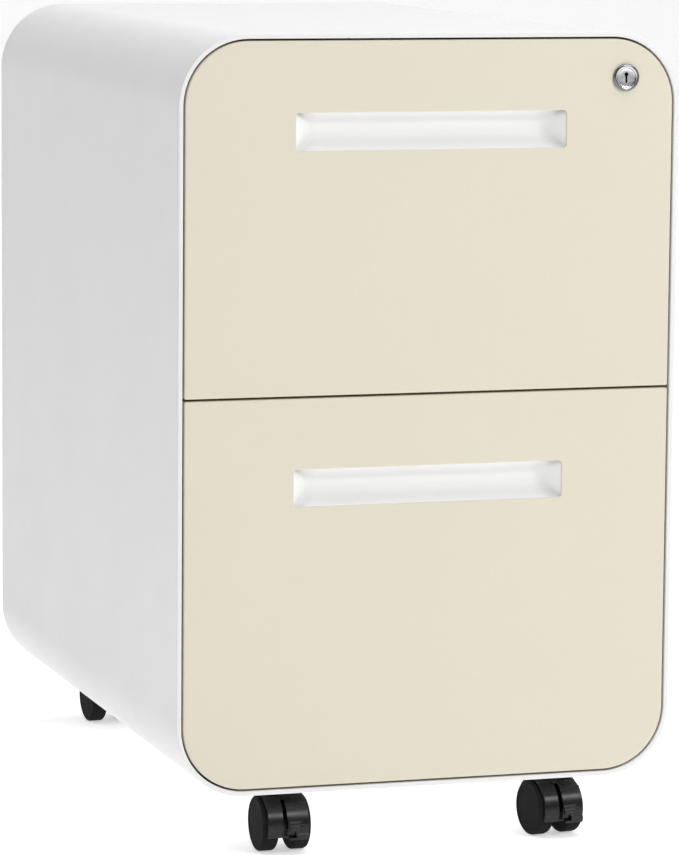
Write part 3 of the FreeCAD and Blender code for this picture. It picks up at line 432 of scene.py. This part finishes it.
def pull_outline(level):
    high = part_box("front_panel_" + level)[1].z - PULL_DROP
    return Outline((-PULL_HALF, PULL_HALF), (high - PULL_HEIGHT, high), PULL_CORNER, PULL_CORNER)


BARREL_RADIUS = 9 * MM
BARREL_GAP = 0.2 * MM         # round the barrel, in the drawer front
FRONT_ROLL = 1.1 * MM         # rounded outer edge of a drawer front
PULL_ROLL = 0.7 * MM          # rounded edge of its opening


def lock_centre():
    low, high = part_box("lock_housing")
    return (low.x + high.x) / 2, (low.z + high.z) / 2


def rolled_edge(radius, steps, side):
    """(inset, y) points of a front's rounded edge; side is 1 at an outer edge and -1 round a hole."""
    points = []
    for step in range(steps + 1):
        angle = math.radians(90 * step / steps)
        inset = side * radius * (1 - math.sin(angle))
        points.append((inset, front_y + radius * (1 - math.cos(angle))))
    return points


def make_front(level):
    """Pressed steel drawer front with rolled outer edges and a rounded edge round the recess."""
    outline = front_outline(level)
    pull = pull_outline(level)
    back_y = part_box("front_panel_" + level)[1].y
    mesh = bmesh.new()
    outer = rolled_edge(FRONT_ROLL, 5, 1)
    outer += [(0.0, back_y), (HEAVY_SHEET, back_y), (HEAVY_SHEET, front_y + HEAVY_SHEET)]
    outer_rings = sweep(mesh, outline, outer, False)
    inner = rolled_edge(PULL_ROLL, 4, -1)
    inner.append((0.0, front_y + HEAVY_SHEET))
    inner_rings = sweep(mesh, pull, inner, False)
    face_rings = [outer_rings[0], inner_rings[0]]
    back_rings = [outer_rings[-1], inner_rings[-1]]
    if level == "upper":
        loop = arc(lock_centre(), BARREL_RADIUS + BARREL_GAP, 0, 360, 48)[:-1]
        lock_front = add_ring(mesh, loop, front_y)
        lock_back = add_ring(mesh, loop, front_y + HEAVY_SHEET)
        bridge(mesh, lock_front, lock_back)
        face_rings.append(lock_front)
        back_rings.append(lock_back)
    fill_between(mesh, face_rings)
    fill_between(mesh, back_rings)
    finish_mesh("drawer_face_" + level, mesh, "cream_paint", "drawer_" + level, ["front_panel_" + level])


SCOOP_DEPTH = 14.5 * MM
SCOOP_END = 13 * MM           # how far an end of the scoop slopes in
END_FILLET = 5 * MM           # between the sloping end and the rest
END_STEPS = 24
POCKET_RISE = 3.5 * MM        # finger room above the top edge of the opening
SCOOP_RADIUS = 15 * MM        # of the floor and of the roof
SCOOP_WALL = 1.2 * MM
SCOOP_START = -85.0           # the floor's arc starts and the roof's arc stops at these angles
SCOOP_STOP = 83.0
SCOOP_STEPS = 17
SCOOP_SHARP = math.radians(80)
SCOOP_SEAT = 0.55             # share of the drawer front's sheet that the scoop's edge is behind


def scoop_profile():
    """(depth, height) up the middle of the scoop, from its lower edge to the roof of the pocket."""
    axis = SCOOP_DEPTH - SCOOP_RADIUS
    roof = PULL_HEIGHT + POCKET_RISE - SCOOP_RADIUS
    points = arc((axis, SCOOP_RADIUS), SCOOP_RADIUS, SCOOP_START, 0, SCOOP_STEPS)
    points += arc((axis, roof), SCOOP_RADIUS, 0, SCOOP_STOP, SCOOP_STEPS)
    return points


def blended_minimum(depth, limit):
    """The smaller of two depths, with a fillet where they meet."""
    gap = max(END_FILLET - abs(depth - limit), 0.0) / END_FILLET
    return min(depth, limit) - gap * gap * END_FILLET / 4


def make_handle_cup(level):
    """White scoop behind the opening, with sloping ends and a rounded floor and roof."""
    base_z = pull_outline(level).z[0]
    rim_depth = HEAVY_SHEET * SCOOP_SEAT
    profile = scoop_profile()
    columns = []
    for step in range(END_STEPS + 1):
        along = (SCOOP_END + END_FILLET) * step / END_STEPS
        limit = HEAVY_SHEET + (SCOOP_DEPTH - HEAVY_SHEET) * along / SCOOP_END
        columns.append((along - PULL_HALF, limit))
    columns += [(-x, limit) for x, limit in reversed(columns)]
    mesh = bmesh.new()
    grid = []
    for x, limit in columns:
        column = []
        for depth, height in profile:
            y = front_y + max(blended_minimum(depth, limit), rim_depth)
            column.append(mesh.verts.new((x, y, base_z + height)))
        grid.append(column)
    for first, second in zip(grid, grid[1:]):
        bridge(mesh, first, second, False)
    piece = finish_mesh("finger_scoop_" + level, mesh, "cup_plastic", "drawer_" + level,
                        ["handle_cup_" + level], weighted=False, sharp=SCOOP_SHARP)
    if sum(face.normal.y * face.area for face in piece.data.polygons) > 0:
        piece.data.flip_normals()
    wall = piece.modifiers.new("wall", "SOLIDIFY")
    wall.thickness = SCOOP_WALL
    wall.offset = -1.0


# ---------------------------------------------------------------- turned and curved pieces

class Place:
    """A local frame whose points are put into the scene by calling it."""

    def __init__(self, origin, x, y, z):
        self.origin = Vector(origin)
        self.x, self.y, self.z = Vector(x), Vector(y), Vector(z)

    def __call__(self, a, b, c):
        return self.origin + self.x * a + self.y * b + self.z * c


def turn(mesh, place, profile, count):
    """Turn a profile of (along, radius) points about the x axis of a place."""
    rings = []
    for along, radius in profile:
        ring = []
        for step in range(count):
            angle = 2 * math.pi * step / count
            ring.append(mesh.verts.new(place(along, radius * math.cos(angle), radius * math.sin(angle))))
        rings.append(ring)
    for first, second in zip(rings, rings[1:]):
        bridge(mesh, first, second)
    return rings


def slab(mesh, place, across, angles, inner, outer, missing=None, skew=None):
    """A curved plate about the x axis of a place.

    across holds x values and angles holds degrees from the place's y axis up towards its z axis.
    inner and outer give the radius at (x, angle), missing says which cells are left out, and skew gives
    the x that a corner is moved to.
    """
    corners = {}

    def corner(i, j, side):
        key = (i, j, side)
        if key not in corners:
            radius = (inner, outer)[side](across[i], angles[j])
            turned = math.radians(angles[j])
            x = skew(across[i], angles[j]) if skew else across[i]
            corners[key] = mesh.verts.new(place(x, radius * math.cos(turned), radius * math.sin(turned)))
        return corners[key]

    def present(i, j):
        if not (0 <= i < len(across) - 1 and 0 <= j < len(angles) - 1):
            return False
        middle = ((across[i] + across[i + 1]) / 2, (angles[j] + angles[j + 1]) / 2)
        return missing is None or not missing(*middle)

    for i in range(len(across) - 1):
        for j in range(len(angles) - 1):
            if not present(i, j):
                continue
            for side in (0, 1):
                mesh.faces.new([corner(i, j, side), corner(i + 1, j, side),
                                corner(i + 1, j + 1, side), corner(i, j + 1, side)])
            sides = (((i - 1, j), (i, j), (i, j + 1)), ((i + 1, j), (i + 1, j), (i + 1, j + 1)),
                     ((i, j - 1), (i, j), (i + 1, j)), ((i, j + 1), (i, j + 1), (i + 1, j + 1)))
            for near, a, b in sides:
                if not present(*near):
                    mesh.faces.new([corner(*a, 0), corner(*b, 0), corner(*b, 1), corner(*a, 1)])


def spread(low, high, count):
    """Evenly spaced values from low to high."""
    return [low + (high - low) * step / count for step in range(count + 1)]


def plate(mesh, place, outline, low, high):
    """Extrude an outline of (y, z) points from x = low to x = high."""
    ends = [[mesh.verts.new(place(x, y, z)) for y, z in outline] for x in (low, high)]
    bridge(mesh, ends[0], ends[1])
    mesh.faces.new(ends[0])
    mesh.faces.new(ends[1])


ROUNDED_FROM = math.radians(40)


def soften(piece, width):
    """Round the edges of a piece that turn by more than ROUNDED_FROM."""
    edges = piece.modifiers.new("rounded_edges", "BEVEL")
    edges.width = width
    edges.segments = 2
    edges.limit_method = "ANGLE"
    edges.angle_limit = ROUNDED_FROM
    edges.use_clamp_overlap = True
    while piece.modifiers[0] != edges:
        piece.modifiers.move(piece.modifiers.find(edges.name), 0)


# ---------------------------------------------------------------- lock

TURNED_STEPS = 72             # sides of a turned piece
PLUG_RADIUS = 7.45 * MM
PLUG_GAP = 0.05 * MM
BEZEL_ROLL = 1.25 * MM        # rounding of the bezel's outer edge
MOUTH_SET = 0.9 * MM          # how far the straight part of the bore is behind the bezel's foremost point
MOUTH_ROUND = 0.5 * MM
DISH_SET = 0.35 * MM          # inner edge of the bezel's sloping face: how far it is behind that point
DISH_EDGE = 0.9 * MM          # and how far outside the bore
CREST_SET = 0.1 * MM          # outer edge of the sloping face: how far it is behind that point
CREST_EDGE = 0.35 * MM        # and how far inside the rolled edge
TAIL_CHAMFER = 0.5 * MM
BRIGHT_FROM = 0.02 * MM       # the bright chrome ring of the bezel starts this far outside the bore; the rest of the bezel has painted dark reflection

# How far each step of the plug's face is behind its foremost ring (set) and inside its radius (edge).
PLUG_FACE_SET = 0.25 * MM
PLUG_FACE_EDGE = 0.84 * MM
PLUG_RING_EDGE = 0.42 * MM
PLUG_SHOULDER_SET = 0.2 * MM
PLUG_SHOULDER_EDGE = 0.1 * MM
PLUG_SIDE_SET = 0.3 * MM

KEY_HEAD = 1.55 * MM          # radius of the keyhole's round top
KEY_HALF = 0.8 * MM           # half the width of its slot
KEY_RISE = 4.0 * MM           # half its height
KEY_DEPTH = 7 * MM
KEY_MARGIN = 0.2 * MM
CLEAR_OF_FACE = 0.1 * MM      # faces nearer than this to an end of the plug aren't in the keyhole


def lock_place():
    x, z = lock_centre()
    return Place((x, 0, z), (0, 1, 0), (1, 0, 0), (0, 0, 1))


def make_lock_housing():
    """Chrome barrel with a rolled bezel that stands proud of the drawer front."""
    low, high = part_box("lock_housing")
    bezel = (high.x - low.x) / 2
    bore = PLUG_RADIUS + PLUG_GAP
    profile = [(high.y, bore), (low.y + MOUTH_SET, bore)]
    profile += arc((low.y + MOUTH_SET, bore + MOUTH_ROUND), MOUTH_ROUND, 270, 180, 4)
    profile += [(low.y + DISH_SET, bore + DISH_EDGE), (low.y + CREST_SET, bezel - BEZEL_ROLL - CREST_EDGE)]
    profile += arc((low.y + BEZEL_ROLL, bezel - BEZEL_ROLL), BEZEL_ROLL, 180, 90, 8)
    profile += [(front_y, bezel), (front_y, BARREL_RADIUS), (high.y - TAIL_CHAMFER, BARREL_RADIUS),
                (high.y, BARREL_RADIUS - TAIL_CHAMFER)]
    mesh = bmesh.new()
    rings = turn(mesh, lock_place(), profile, TURNED_STEPS)
    bridge(mesh, rings[-1], rings[0])
    piece = finish_mesh("lock_bezel", mesh, "lock_chrome", "drawer_upper", ["lock_housing"])
    # Painted dark reflection: the bore and the bezel outside a narrow ring by the bore take the darker
    # chrome, as if they mirrored a dark room.
    piece.data.materials.append(dark_reflection_chrome)
    x, z = lock_centre()
    for face in piece.data.polygons:
        outside_bore = math.hypot(face.center.x - x, face.center.z - z) - bore
        face.material_index = 1 if outside_bore > DISH_EDGE or outside_bore < BRIGHT_FROM else 0


def key_outline():
    """Keyhole as (x, z) points: a round top on a narrow slot."""
    start = math.degrees(math.asin(KEY_HALF / KEY_HEAD))
    points = arc((0, KEY_RISE - KEY_HEAD), KEY_HEAD, -90 + start, 270 - start, 16)
    points += arc((0, -KEY_RISE + KEY_HALF), KEY_HALF, 180, 360, 8)
    return points


def make_lock_plug():
    """Key plug with a chamfered face and a keyhole sunk into it."""
    low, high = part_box("lock_plug")
    place = lock_place()
    face_y = low.y + PLUG_FACE_SET
    profile = [(face_y, PLUG_RADIUS - PLUG_FACE_EDGE), (low.y, PLUG_RADIUS - PLUG_RING_EDGE),
               (low.y + PLUG_SHOULDER_SET, PLUG_RADIUS - PLUG_SHOULDER_EDGE),
               (low.y + PLUG_SIDE_SET, PLUG_RADIUS), (high.y, PLUG_RADIUS)]
    mesh = bmesh.new()
    rings = turn(mesh, place, profile, TURNED_STEPS)
    mesh.faces.new(rings[-1])
    mouth = [mesh.verts.new(place(face_y, x, z)) for x, z in key_outline()]
    end = [mesh.verts.new(place(face_y + KEY_DEPTH, x, z)) for x, z in key_outline()]
    bridge(mesh, mouth, end)
    mesh.faces.new(end)
    fill_between(mesh, [rings[0], mouth])
    piece = finish_mesh("key_plug_face", mesh, "lock_chrome", "key_plug", ["lock_plug"])
    # Painted shade: the keyhole's walls and floor take the black plastic, standing in for the shade inside
    # the hole.
    piece.data.materials.append(paints["hood_black"])
    for face in piece.data.polygons:
        away = math.hypot(face.center.x - place.origin.x, face.center.z - place.origin.z)
        behind_face = face_y + CLEAR_OF_FACE < face.center.y < high.y - CLEAR_OF_FACE
        if away < KEY_RISE + KEY_MARGIN and behind_face:
            face.material_index = 1


# ---------------------------------------------------------------- casters

joints = {joint["name"]: joint for joint in frame["record"]["behaviour"]["joints"]}

WHEEL_RADIUS = 21 * MM
WHEEL_WIDTH = 13 * MM
WHEEL_INNER = 6 * MM          # middle of the caster to a wheel's inner face
SHOULDER = 2.5 * MM           # rounding of the tread's edges
AXLE_BORE = 2.6 * MM
TREAD_STEPS = 6
# How far a wheel's face is sunk, and the radius there, in mm: from the bore out, and from the tread in.
INNER_FACE = ((0.0, 2.6), (0.0, 8.6), (0.5, 9.2), (0.5, 16.0), (0.2, 16.6))
OUTER_FACE = ((0.0, 17.9), (0.08, 17.5), (0.3, 17.2), (0.36, 16.6), (0.3, 12.0), (0.2, 8.0), (0.12, 4.0),
              (0.1, 0.0))

# Angles about the wheel's axis are in degrees from the front, up over the wheel.
HOOD_INNER = 22 * MM
HOOD_OUTER = 23.4 * MM
HOOD_HALF = 16 * MM
HOOD_START = -19.0
HOOD_STOP = 170.0
HOOD_STEPS = 63
HOOD_ROUND = 0.6 * MM
SLIT = (-3.4 * MM, -0.4 * MM)  # across the hood, beside the brake lever
SLIT_START = HOOD_START + 3
SLIT_STOP = 58.0
WEB_HALF = 2.9 * MM           # the web between the wheels
WEB_GAP = 2.5 * MM            # between its edge and the hood
WEB_TRIM = 12.0               # degrees that it stops short of the hood's ends
HUB_RADIUS = 7 * MM
HUB_PROUD = 0.1 * MM          # beyond the web
BOSS_BORE = 4.05 * MM         # the boss round the swivel pin
BOSS_RADIUS = 8 * MM
BOSS_LENGTH = 8 * MM
BOSS_DROP = 2.6 * MM          # under the shell, with room for the plate
TURNED_BOSS_STEPS = 40

LEVER_INNER = 23.8 * MM
LEVER_OUTER = 25.4 * MM
TOE_OUTER = 26.6 * MM
LEVER_LEFT = -1.5 * MM
LEVER_RIGHT = 15.5 * MM
LEVER_START = -20.0
LEVER_STOP = 47.0
LEVER_STEPS = 67
LEVER_ROUND = 0.35 * MM
TOE_STOP = -11.0
TOE_FADE = 2.0                # degrees from the toe ridge to the plain face
GRIP = (-2.0, 14.0)           # where the grip lines are
GRIP_RIGHT = 7.5 * MM
GRIP_PITCH = 6.0
GRIP_WIDTH = 2.0
GRIP_DEPTH = 0.45 * MM
NOTCH = (-16.0, -6.0)         # cut out of the lever's lower left corner
NOTCH_RIGHT = 4 * MM
SLANT = 2.4 * MM              # how far the left edge moves right, all of it below SLANT_STOP
SLANT_START = 22.0
SLANT_STOP = -14.0


def caster_place(corner):
    """Local frame of a caster: x along the axle, y from the swivel axis out to the wheel axis, z up."""
    swivel = Vector(joints["swivel_" + corner]["pos_m"])
    middle = Vector(joints["roll_" + corner]["pos_m"])
    reach = Vector((middle.x - swivel.x, middle.y - swivel.y, 0)).normalized()
    up = Vector((0, 0, 1))
    return Place(middle, reach.cross(up) * -1, reach, up)


def wheel_profile():
    """(along, radius) of one wheel from the inner face of its hub round to the middle of its outer face."""
    inner, outer = WHEEL_INNER, WHEEL_INNER + WHEEL_WIDTH
    crown = WHEEL_RADIUS - SHOULDER
    profile = [(inner + sunk * MM, radius * MM) for sunk, radius in INNER_FACE]
    profile += arc((inner + SHOULDER, crown), SHOULDER, 180, 90, TREAD_STEPS)
    profile += arc((outer - SHOULDER, crown), SHOULDER, 90, 0, TREAD_STEPS)
    profile += [(outer - sunk * MM, radius * MM) for sunk, radius in OUTER_FACE]
    return profile


def make_wheels(corner):
    place = caster_place(corner)
    mesh = bmesh.new()
    for side in (-1, 1):
        mirrored = Place(place.origin, place.x * side, place.y, place.z)
        turn(mesh, mirrored, wheel_profile(), TURNED_STEPS)
    finish_mesh("twin_wheels_" + corner, mesh, "wheel_black", "wheels_" + corner,
                ["caster_wheels_" + corner])


def in_slit(x, angle):
    return SLIT[0] < x < SLIT[1] and SLIT_START < angle < SLIT_STOP


def add_tube(mesh, place, low, high, inner, outer):
    """The outside and the two ends of a tube whose bore is filled by a pin."""
    turn(mesh, place, [(low, inner), (low, outer), (high, outer), (high, inner)], TURNED_BOSS_STEPS)


def make_hood(corner):
    """Moulded hood over both wheels, with the web, axle hub and swivel boss inside it."""
    place = caster_place(corner)
    braked = "brake_lever_" + corner in frame["nodes"]
    mesh = bmesh.new()
    slab(mesh, place, [-HOOD_HALF, *SLIT, HOOD_HALF], spread(HOOD_START, HOOD_STOP, HOOD_STEPS),
         lambda x, angle: HOOD_INNER, lambda x, angle: HOOD_OUTER,
         in_slit if braked else None)
    web = arc((0.0, 0.0), HOOD_INNER - WEB_GAP, HOOD_START + WEB_TRIM, HOOD_STOP - WEB_TRIM, 30)
    plate(mesh, place, [(0.0, 0.0), *web], -WEB_HALF, WEB_HALF)
    hub_half = WEB_HALF + HUB_PROUD
    add_tube(mesh, place, -hub_half, hub_half, AXLE_BORE, HUB_RADIUS)
    pin_y = -(Vector(joints["swivel_" + corner]["pos_m"]).xy - place.origin.xy).length
    upright = Place(place(0, pin_y, 0), place.z, place.x, place.y)
    boss_top = shell_low.z - BOSS_DROP - place.origin.z
    add_tube(mesh, upright, boss_top - BOSS_LENGTH, boss_top, BOSS_BORE, BOSS_RADIUS)
    piece = finish_mesh("hood_" + corner, mesh, "hood_black", "caster_" + corner, ["caster_hood_" + corner])
    soften(piece, HOOD_ROUND)


def lever_radius(x, angle):
    """Outer face of a brake lever: a toe ridge along its lower end and fine grip lines above it."""
    if angle <= TOE_STOP:
        return TOE_OUTER
    if angle <= TOE_STOP + TOE_FADE:
        return LEVER_OUTER + (TOE_OUTER - LEVER_OUTER) * (TOE_STOP + TOE_FADE - angle) / TOE_FADE
    on_grip = GRIP[0] <= angle <= GRIP[1] and x <= GRIP_RIGHT
    on_line = (angle - GRIP[0]) % GRIP_PITCH < GRIP_WIDTH
    return LEVER_OUTER - GRIP_DEPTH if on_grip and on_line else LEVER_OUTER


def lever_skew(x, angle):
    """Slant a lever's left edge so that the slit beside it widens downwards."""
    share = min(max((SLANT_START - angle) / (SLANT_START - SLANT_STOP), 0.0), 1.0)
    return x + SLANT * share * (LEVER_RIGHT - x) / (LEVER_RIGHT - LEVER_LEFT)


def make_brake_lever(corner):
    place = caster_place(corner)
    mesh = bmesh.new()
    across = [LEVER_LEFT, 1 * MM, NOTCH_RIGHT, GRIP_RIGHT, 10 * MM, 13 * MM, LEVER_RIGHT]
    slab(mesh, place, across, spread(LEVER_START, LEVER_STOP, LEVER_STEPS),
         lambda x, angle: LEVER_INNER, lever_radius,
         lambda x, angle: x < NOTCH_RIGHT and NOTCH[0] < angle < NOTCH[1], lever_skew)
    piece = finish_mesh("brake_" + corner, mesh, "hood_black", "brake_" + corner, ["brake_lever_" + corner])
    soften(piece, LEVER_ROUND)


def make_casters():
    for corner in ("front_left", "front_right", "rear_left", "rear_right"):
        make_wheels(corner)
        make_hood(corner)
        if "brake_lever_" + corner in frame["nodes"]:
            make_brake_lever(corner)


# ---------------------------------------------------------------- screws

HEAD_HEIGHT = 2 * MM
HEAD_FLAT = 1.6 * MM          # radius of the flat middle of the dome
# The dome as shares of (height, radius), up to where it runs out to the flat.
HEAD_DOME = ((0.0, 1.0), (0.25, 1.0), (0.6, 0.93), (0.85, 0.78), (0.97, 0.6))
FLAT_SHARE = 0.6              # how far the last ring is from the head's radius towards the flat
CROSS_MOUTH = (1.25 * MM, 0.35 * MM)
CROSS_FLOOR = (0.9 * MM, 0.3 * MM)
CROSS_SHARE = 0.35            # height of the recess's floor
SCREW_SHARP = math.radians(50)


def cross_outline(reach, half):
    """A cross recess as (y, z) points."""
    return [(reach, -half), (reach, half), (half, half), (half, reach), (-half, reach), (-half, half),
            (-reach, half), (-reach, -half), (-half, -half), (-half, -reach), (half, -reach), (half, -half)]


def pan_head(mesh, x, seat_y, z, radius):
    """A domed screw head with a cross recess, which looks to the rear."""
    place = Place((x, seat_y, z), (0, 1, 0), (1, 0, 0), (0, 0, 1))
    profile = [(up * HEAD_HEIGHT, out * radius) for up, out in HEAD_DOME]
    profile.append((HEAD_HEIGHT, FLAT_SHARE * HEAD_FLAT + (1 - FLAT_SHARE) * radius))
    rings = turn(mesh, place, profile, 32)
    mouth = [mesh.verts.new(place(HEAD_HEIGHT, y, w)) for y, w in cross_outline(*CROSS_MOUTH)]
    floor = [mesh.verts.new(place(CROSS_SHARE * HEAD_HEIGHT, y, w)) for y, w in cross_outline(*CROSS_FLOOR)]
    bridge(mesh, mouth, floor)
    mesh.faces.new(floor)
    fill_between(mesh, [rings[-1], mouth])
    mesh.faces.new(rings[0])


def make_back_screws():
    """Each solid of the plain CAD screws becomes a head with a cross recess."""
    mesh = bmesh.new()
    for low, high in solid_boxes("back_screws"):
        radius = (high.x - low.x) / 2
        pan_head(mesh, (low.x + high.x) / 2, high.y - HEAD_HEIGHT, (low.z + high.z) / 2, radius)
    finish_mesh("back_screw_heads", mesh, "zinc_steel", "cabinet", ["back_screws"], sharp=SCREW_SHARP)


def solid_boxes(node):
    """Lowest and highest corners of each separate solid in a node."""
    source = bmesh.new()
    source.from_mesh(frame["nodes"][node].data)
    bmesh.ops.remove_doubles(source, verts=source.verts, dist=MERGE)
    left = set(source.verts)
    boxes = []
    while left:
        reached = {left.pop()}
        waiting = list(reached)
        while waiting:
            for line in waiting.pop().link_edges:
                for end in line.verts:
                    if end in left:
                        left.remove(end)
                        reached.add(end)
                        waiting.append(end)
        low = Vector([min(v.co[axis] for v in reached) for axis in range(3)])
        high = Vector([max(v.co[axis] for v in reached) for axis in range(3)])
        boxes.append((low, high))
    source.free()
    return sorted(boxes, key=lambda pair: tuple(pair[0]))


# ---------------------------------------------------------------- floor and light

FLOOR_REACH = 9.0             # to the front and to both sides
WALL_START = 4.5              # behind the cabinet, where the floor starts to rise
WALL_BEND = 2.0
WALL_HEIGHT = 7.0
WORLD_GLOW = 0.2
LIGHT_TARGET = Vector((0.0, 0.0, 0.3))
# place, size and power in watts
LIGHTS = {
    "overhead": ((0.4, -0.3, 3.2), (3.2, 3.2), 73.0),
    "front_key": ((1.5, -2.7, 2.0), (1.5, 0.4), 37.0),
    "left_key": ((-2.2, -2.6, 2.0), (0.6, 0.6), 1.4),
}


def make_floor():
    """A floor that curves up into a backdrop."""
    section = [(-FLOOR_REACH, 0.0)]
    section += arc((WALL_START, WALL_BEND), WALL_BEND, -90, 0, 16)
    section.append((WALL_START + WALL_BEND, WALL_HEIGHT))
    mesh = bmesh.new()
    lines = [[mesh.verts.new((x, y, z)) for y, z in section] for x in (-FLOOR_REACH, FLOOR_REACH)]
    bridge(mesh, lines[1], lines[0], False)
    for face in mesh.faces:
        face.smooth = True
    data = bpy.data.meshes.new("floor")
    mesh.to_mesh(data)
    mesh.free()
    data.materials.append(floor_paint())
    floor = bpy.data.objects.new("floor", data)
    bpy.context.scene.collection.objects.link(floor)


def area_light(name, place, size, power):
    data = bpy.data.lights.new(name, "AREA")
    data.shape = "RECTANGLE"
    data.size, data.size_y = size
    data.energy = power
    light = bpy.data.objects.new(name, data)
    light.location = place
    light.rotation_mode = "QUATERNION"
    light.rotation_quaternion = (LIGHT_TARGET - Vector(place)).to_track_quat("-Z", "Y")
    bpy.context.scene.collection.objects.link(light)


def make_light():
    for name, (place, size, power) in LIGHTS.items():
        area_light(name, place, size, power)
    world = bpy.data.worlds.new("studio")
    world.use_nodes = True
    background = world.node_tree.nodes["Background"]
    background.inputs["Color"].default_value = LIGHT_COLOUR
    background.inputs["Strength"].default_value = WORLD_GLOW
    bpy.context.scene.world = world


def make_colours_plain():
    """Show the colours as they are lit, without a film curve."""
    bpy.context.scene.view_settings.view_transform = "Standard"
    bpy.context.scene.view_settings.look = "None"


make_camera()
make_colours_plain()
dress_frame()
make_shell()
for drawer_level in ("upper", "lower"):
    make_front(drawer_level)
    make_handle_cup(drawer_level)
make_lock_housing()
make_lock_plug()
make_casters()
make_back_screws()
make_floor()
make_light()
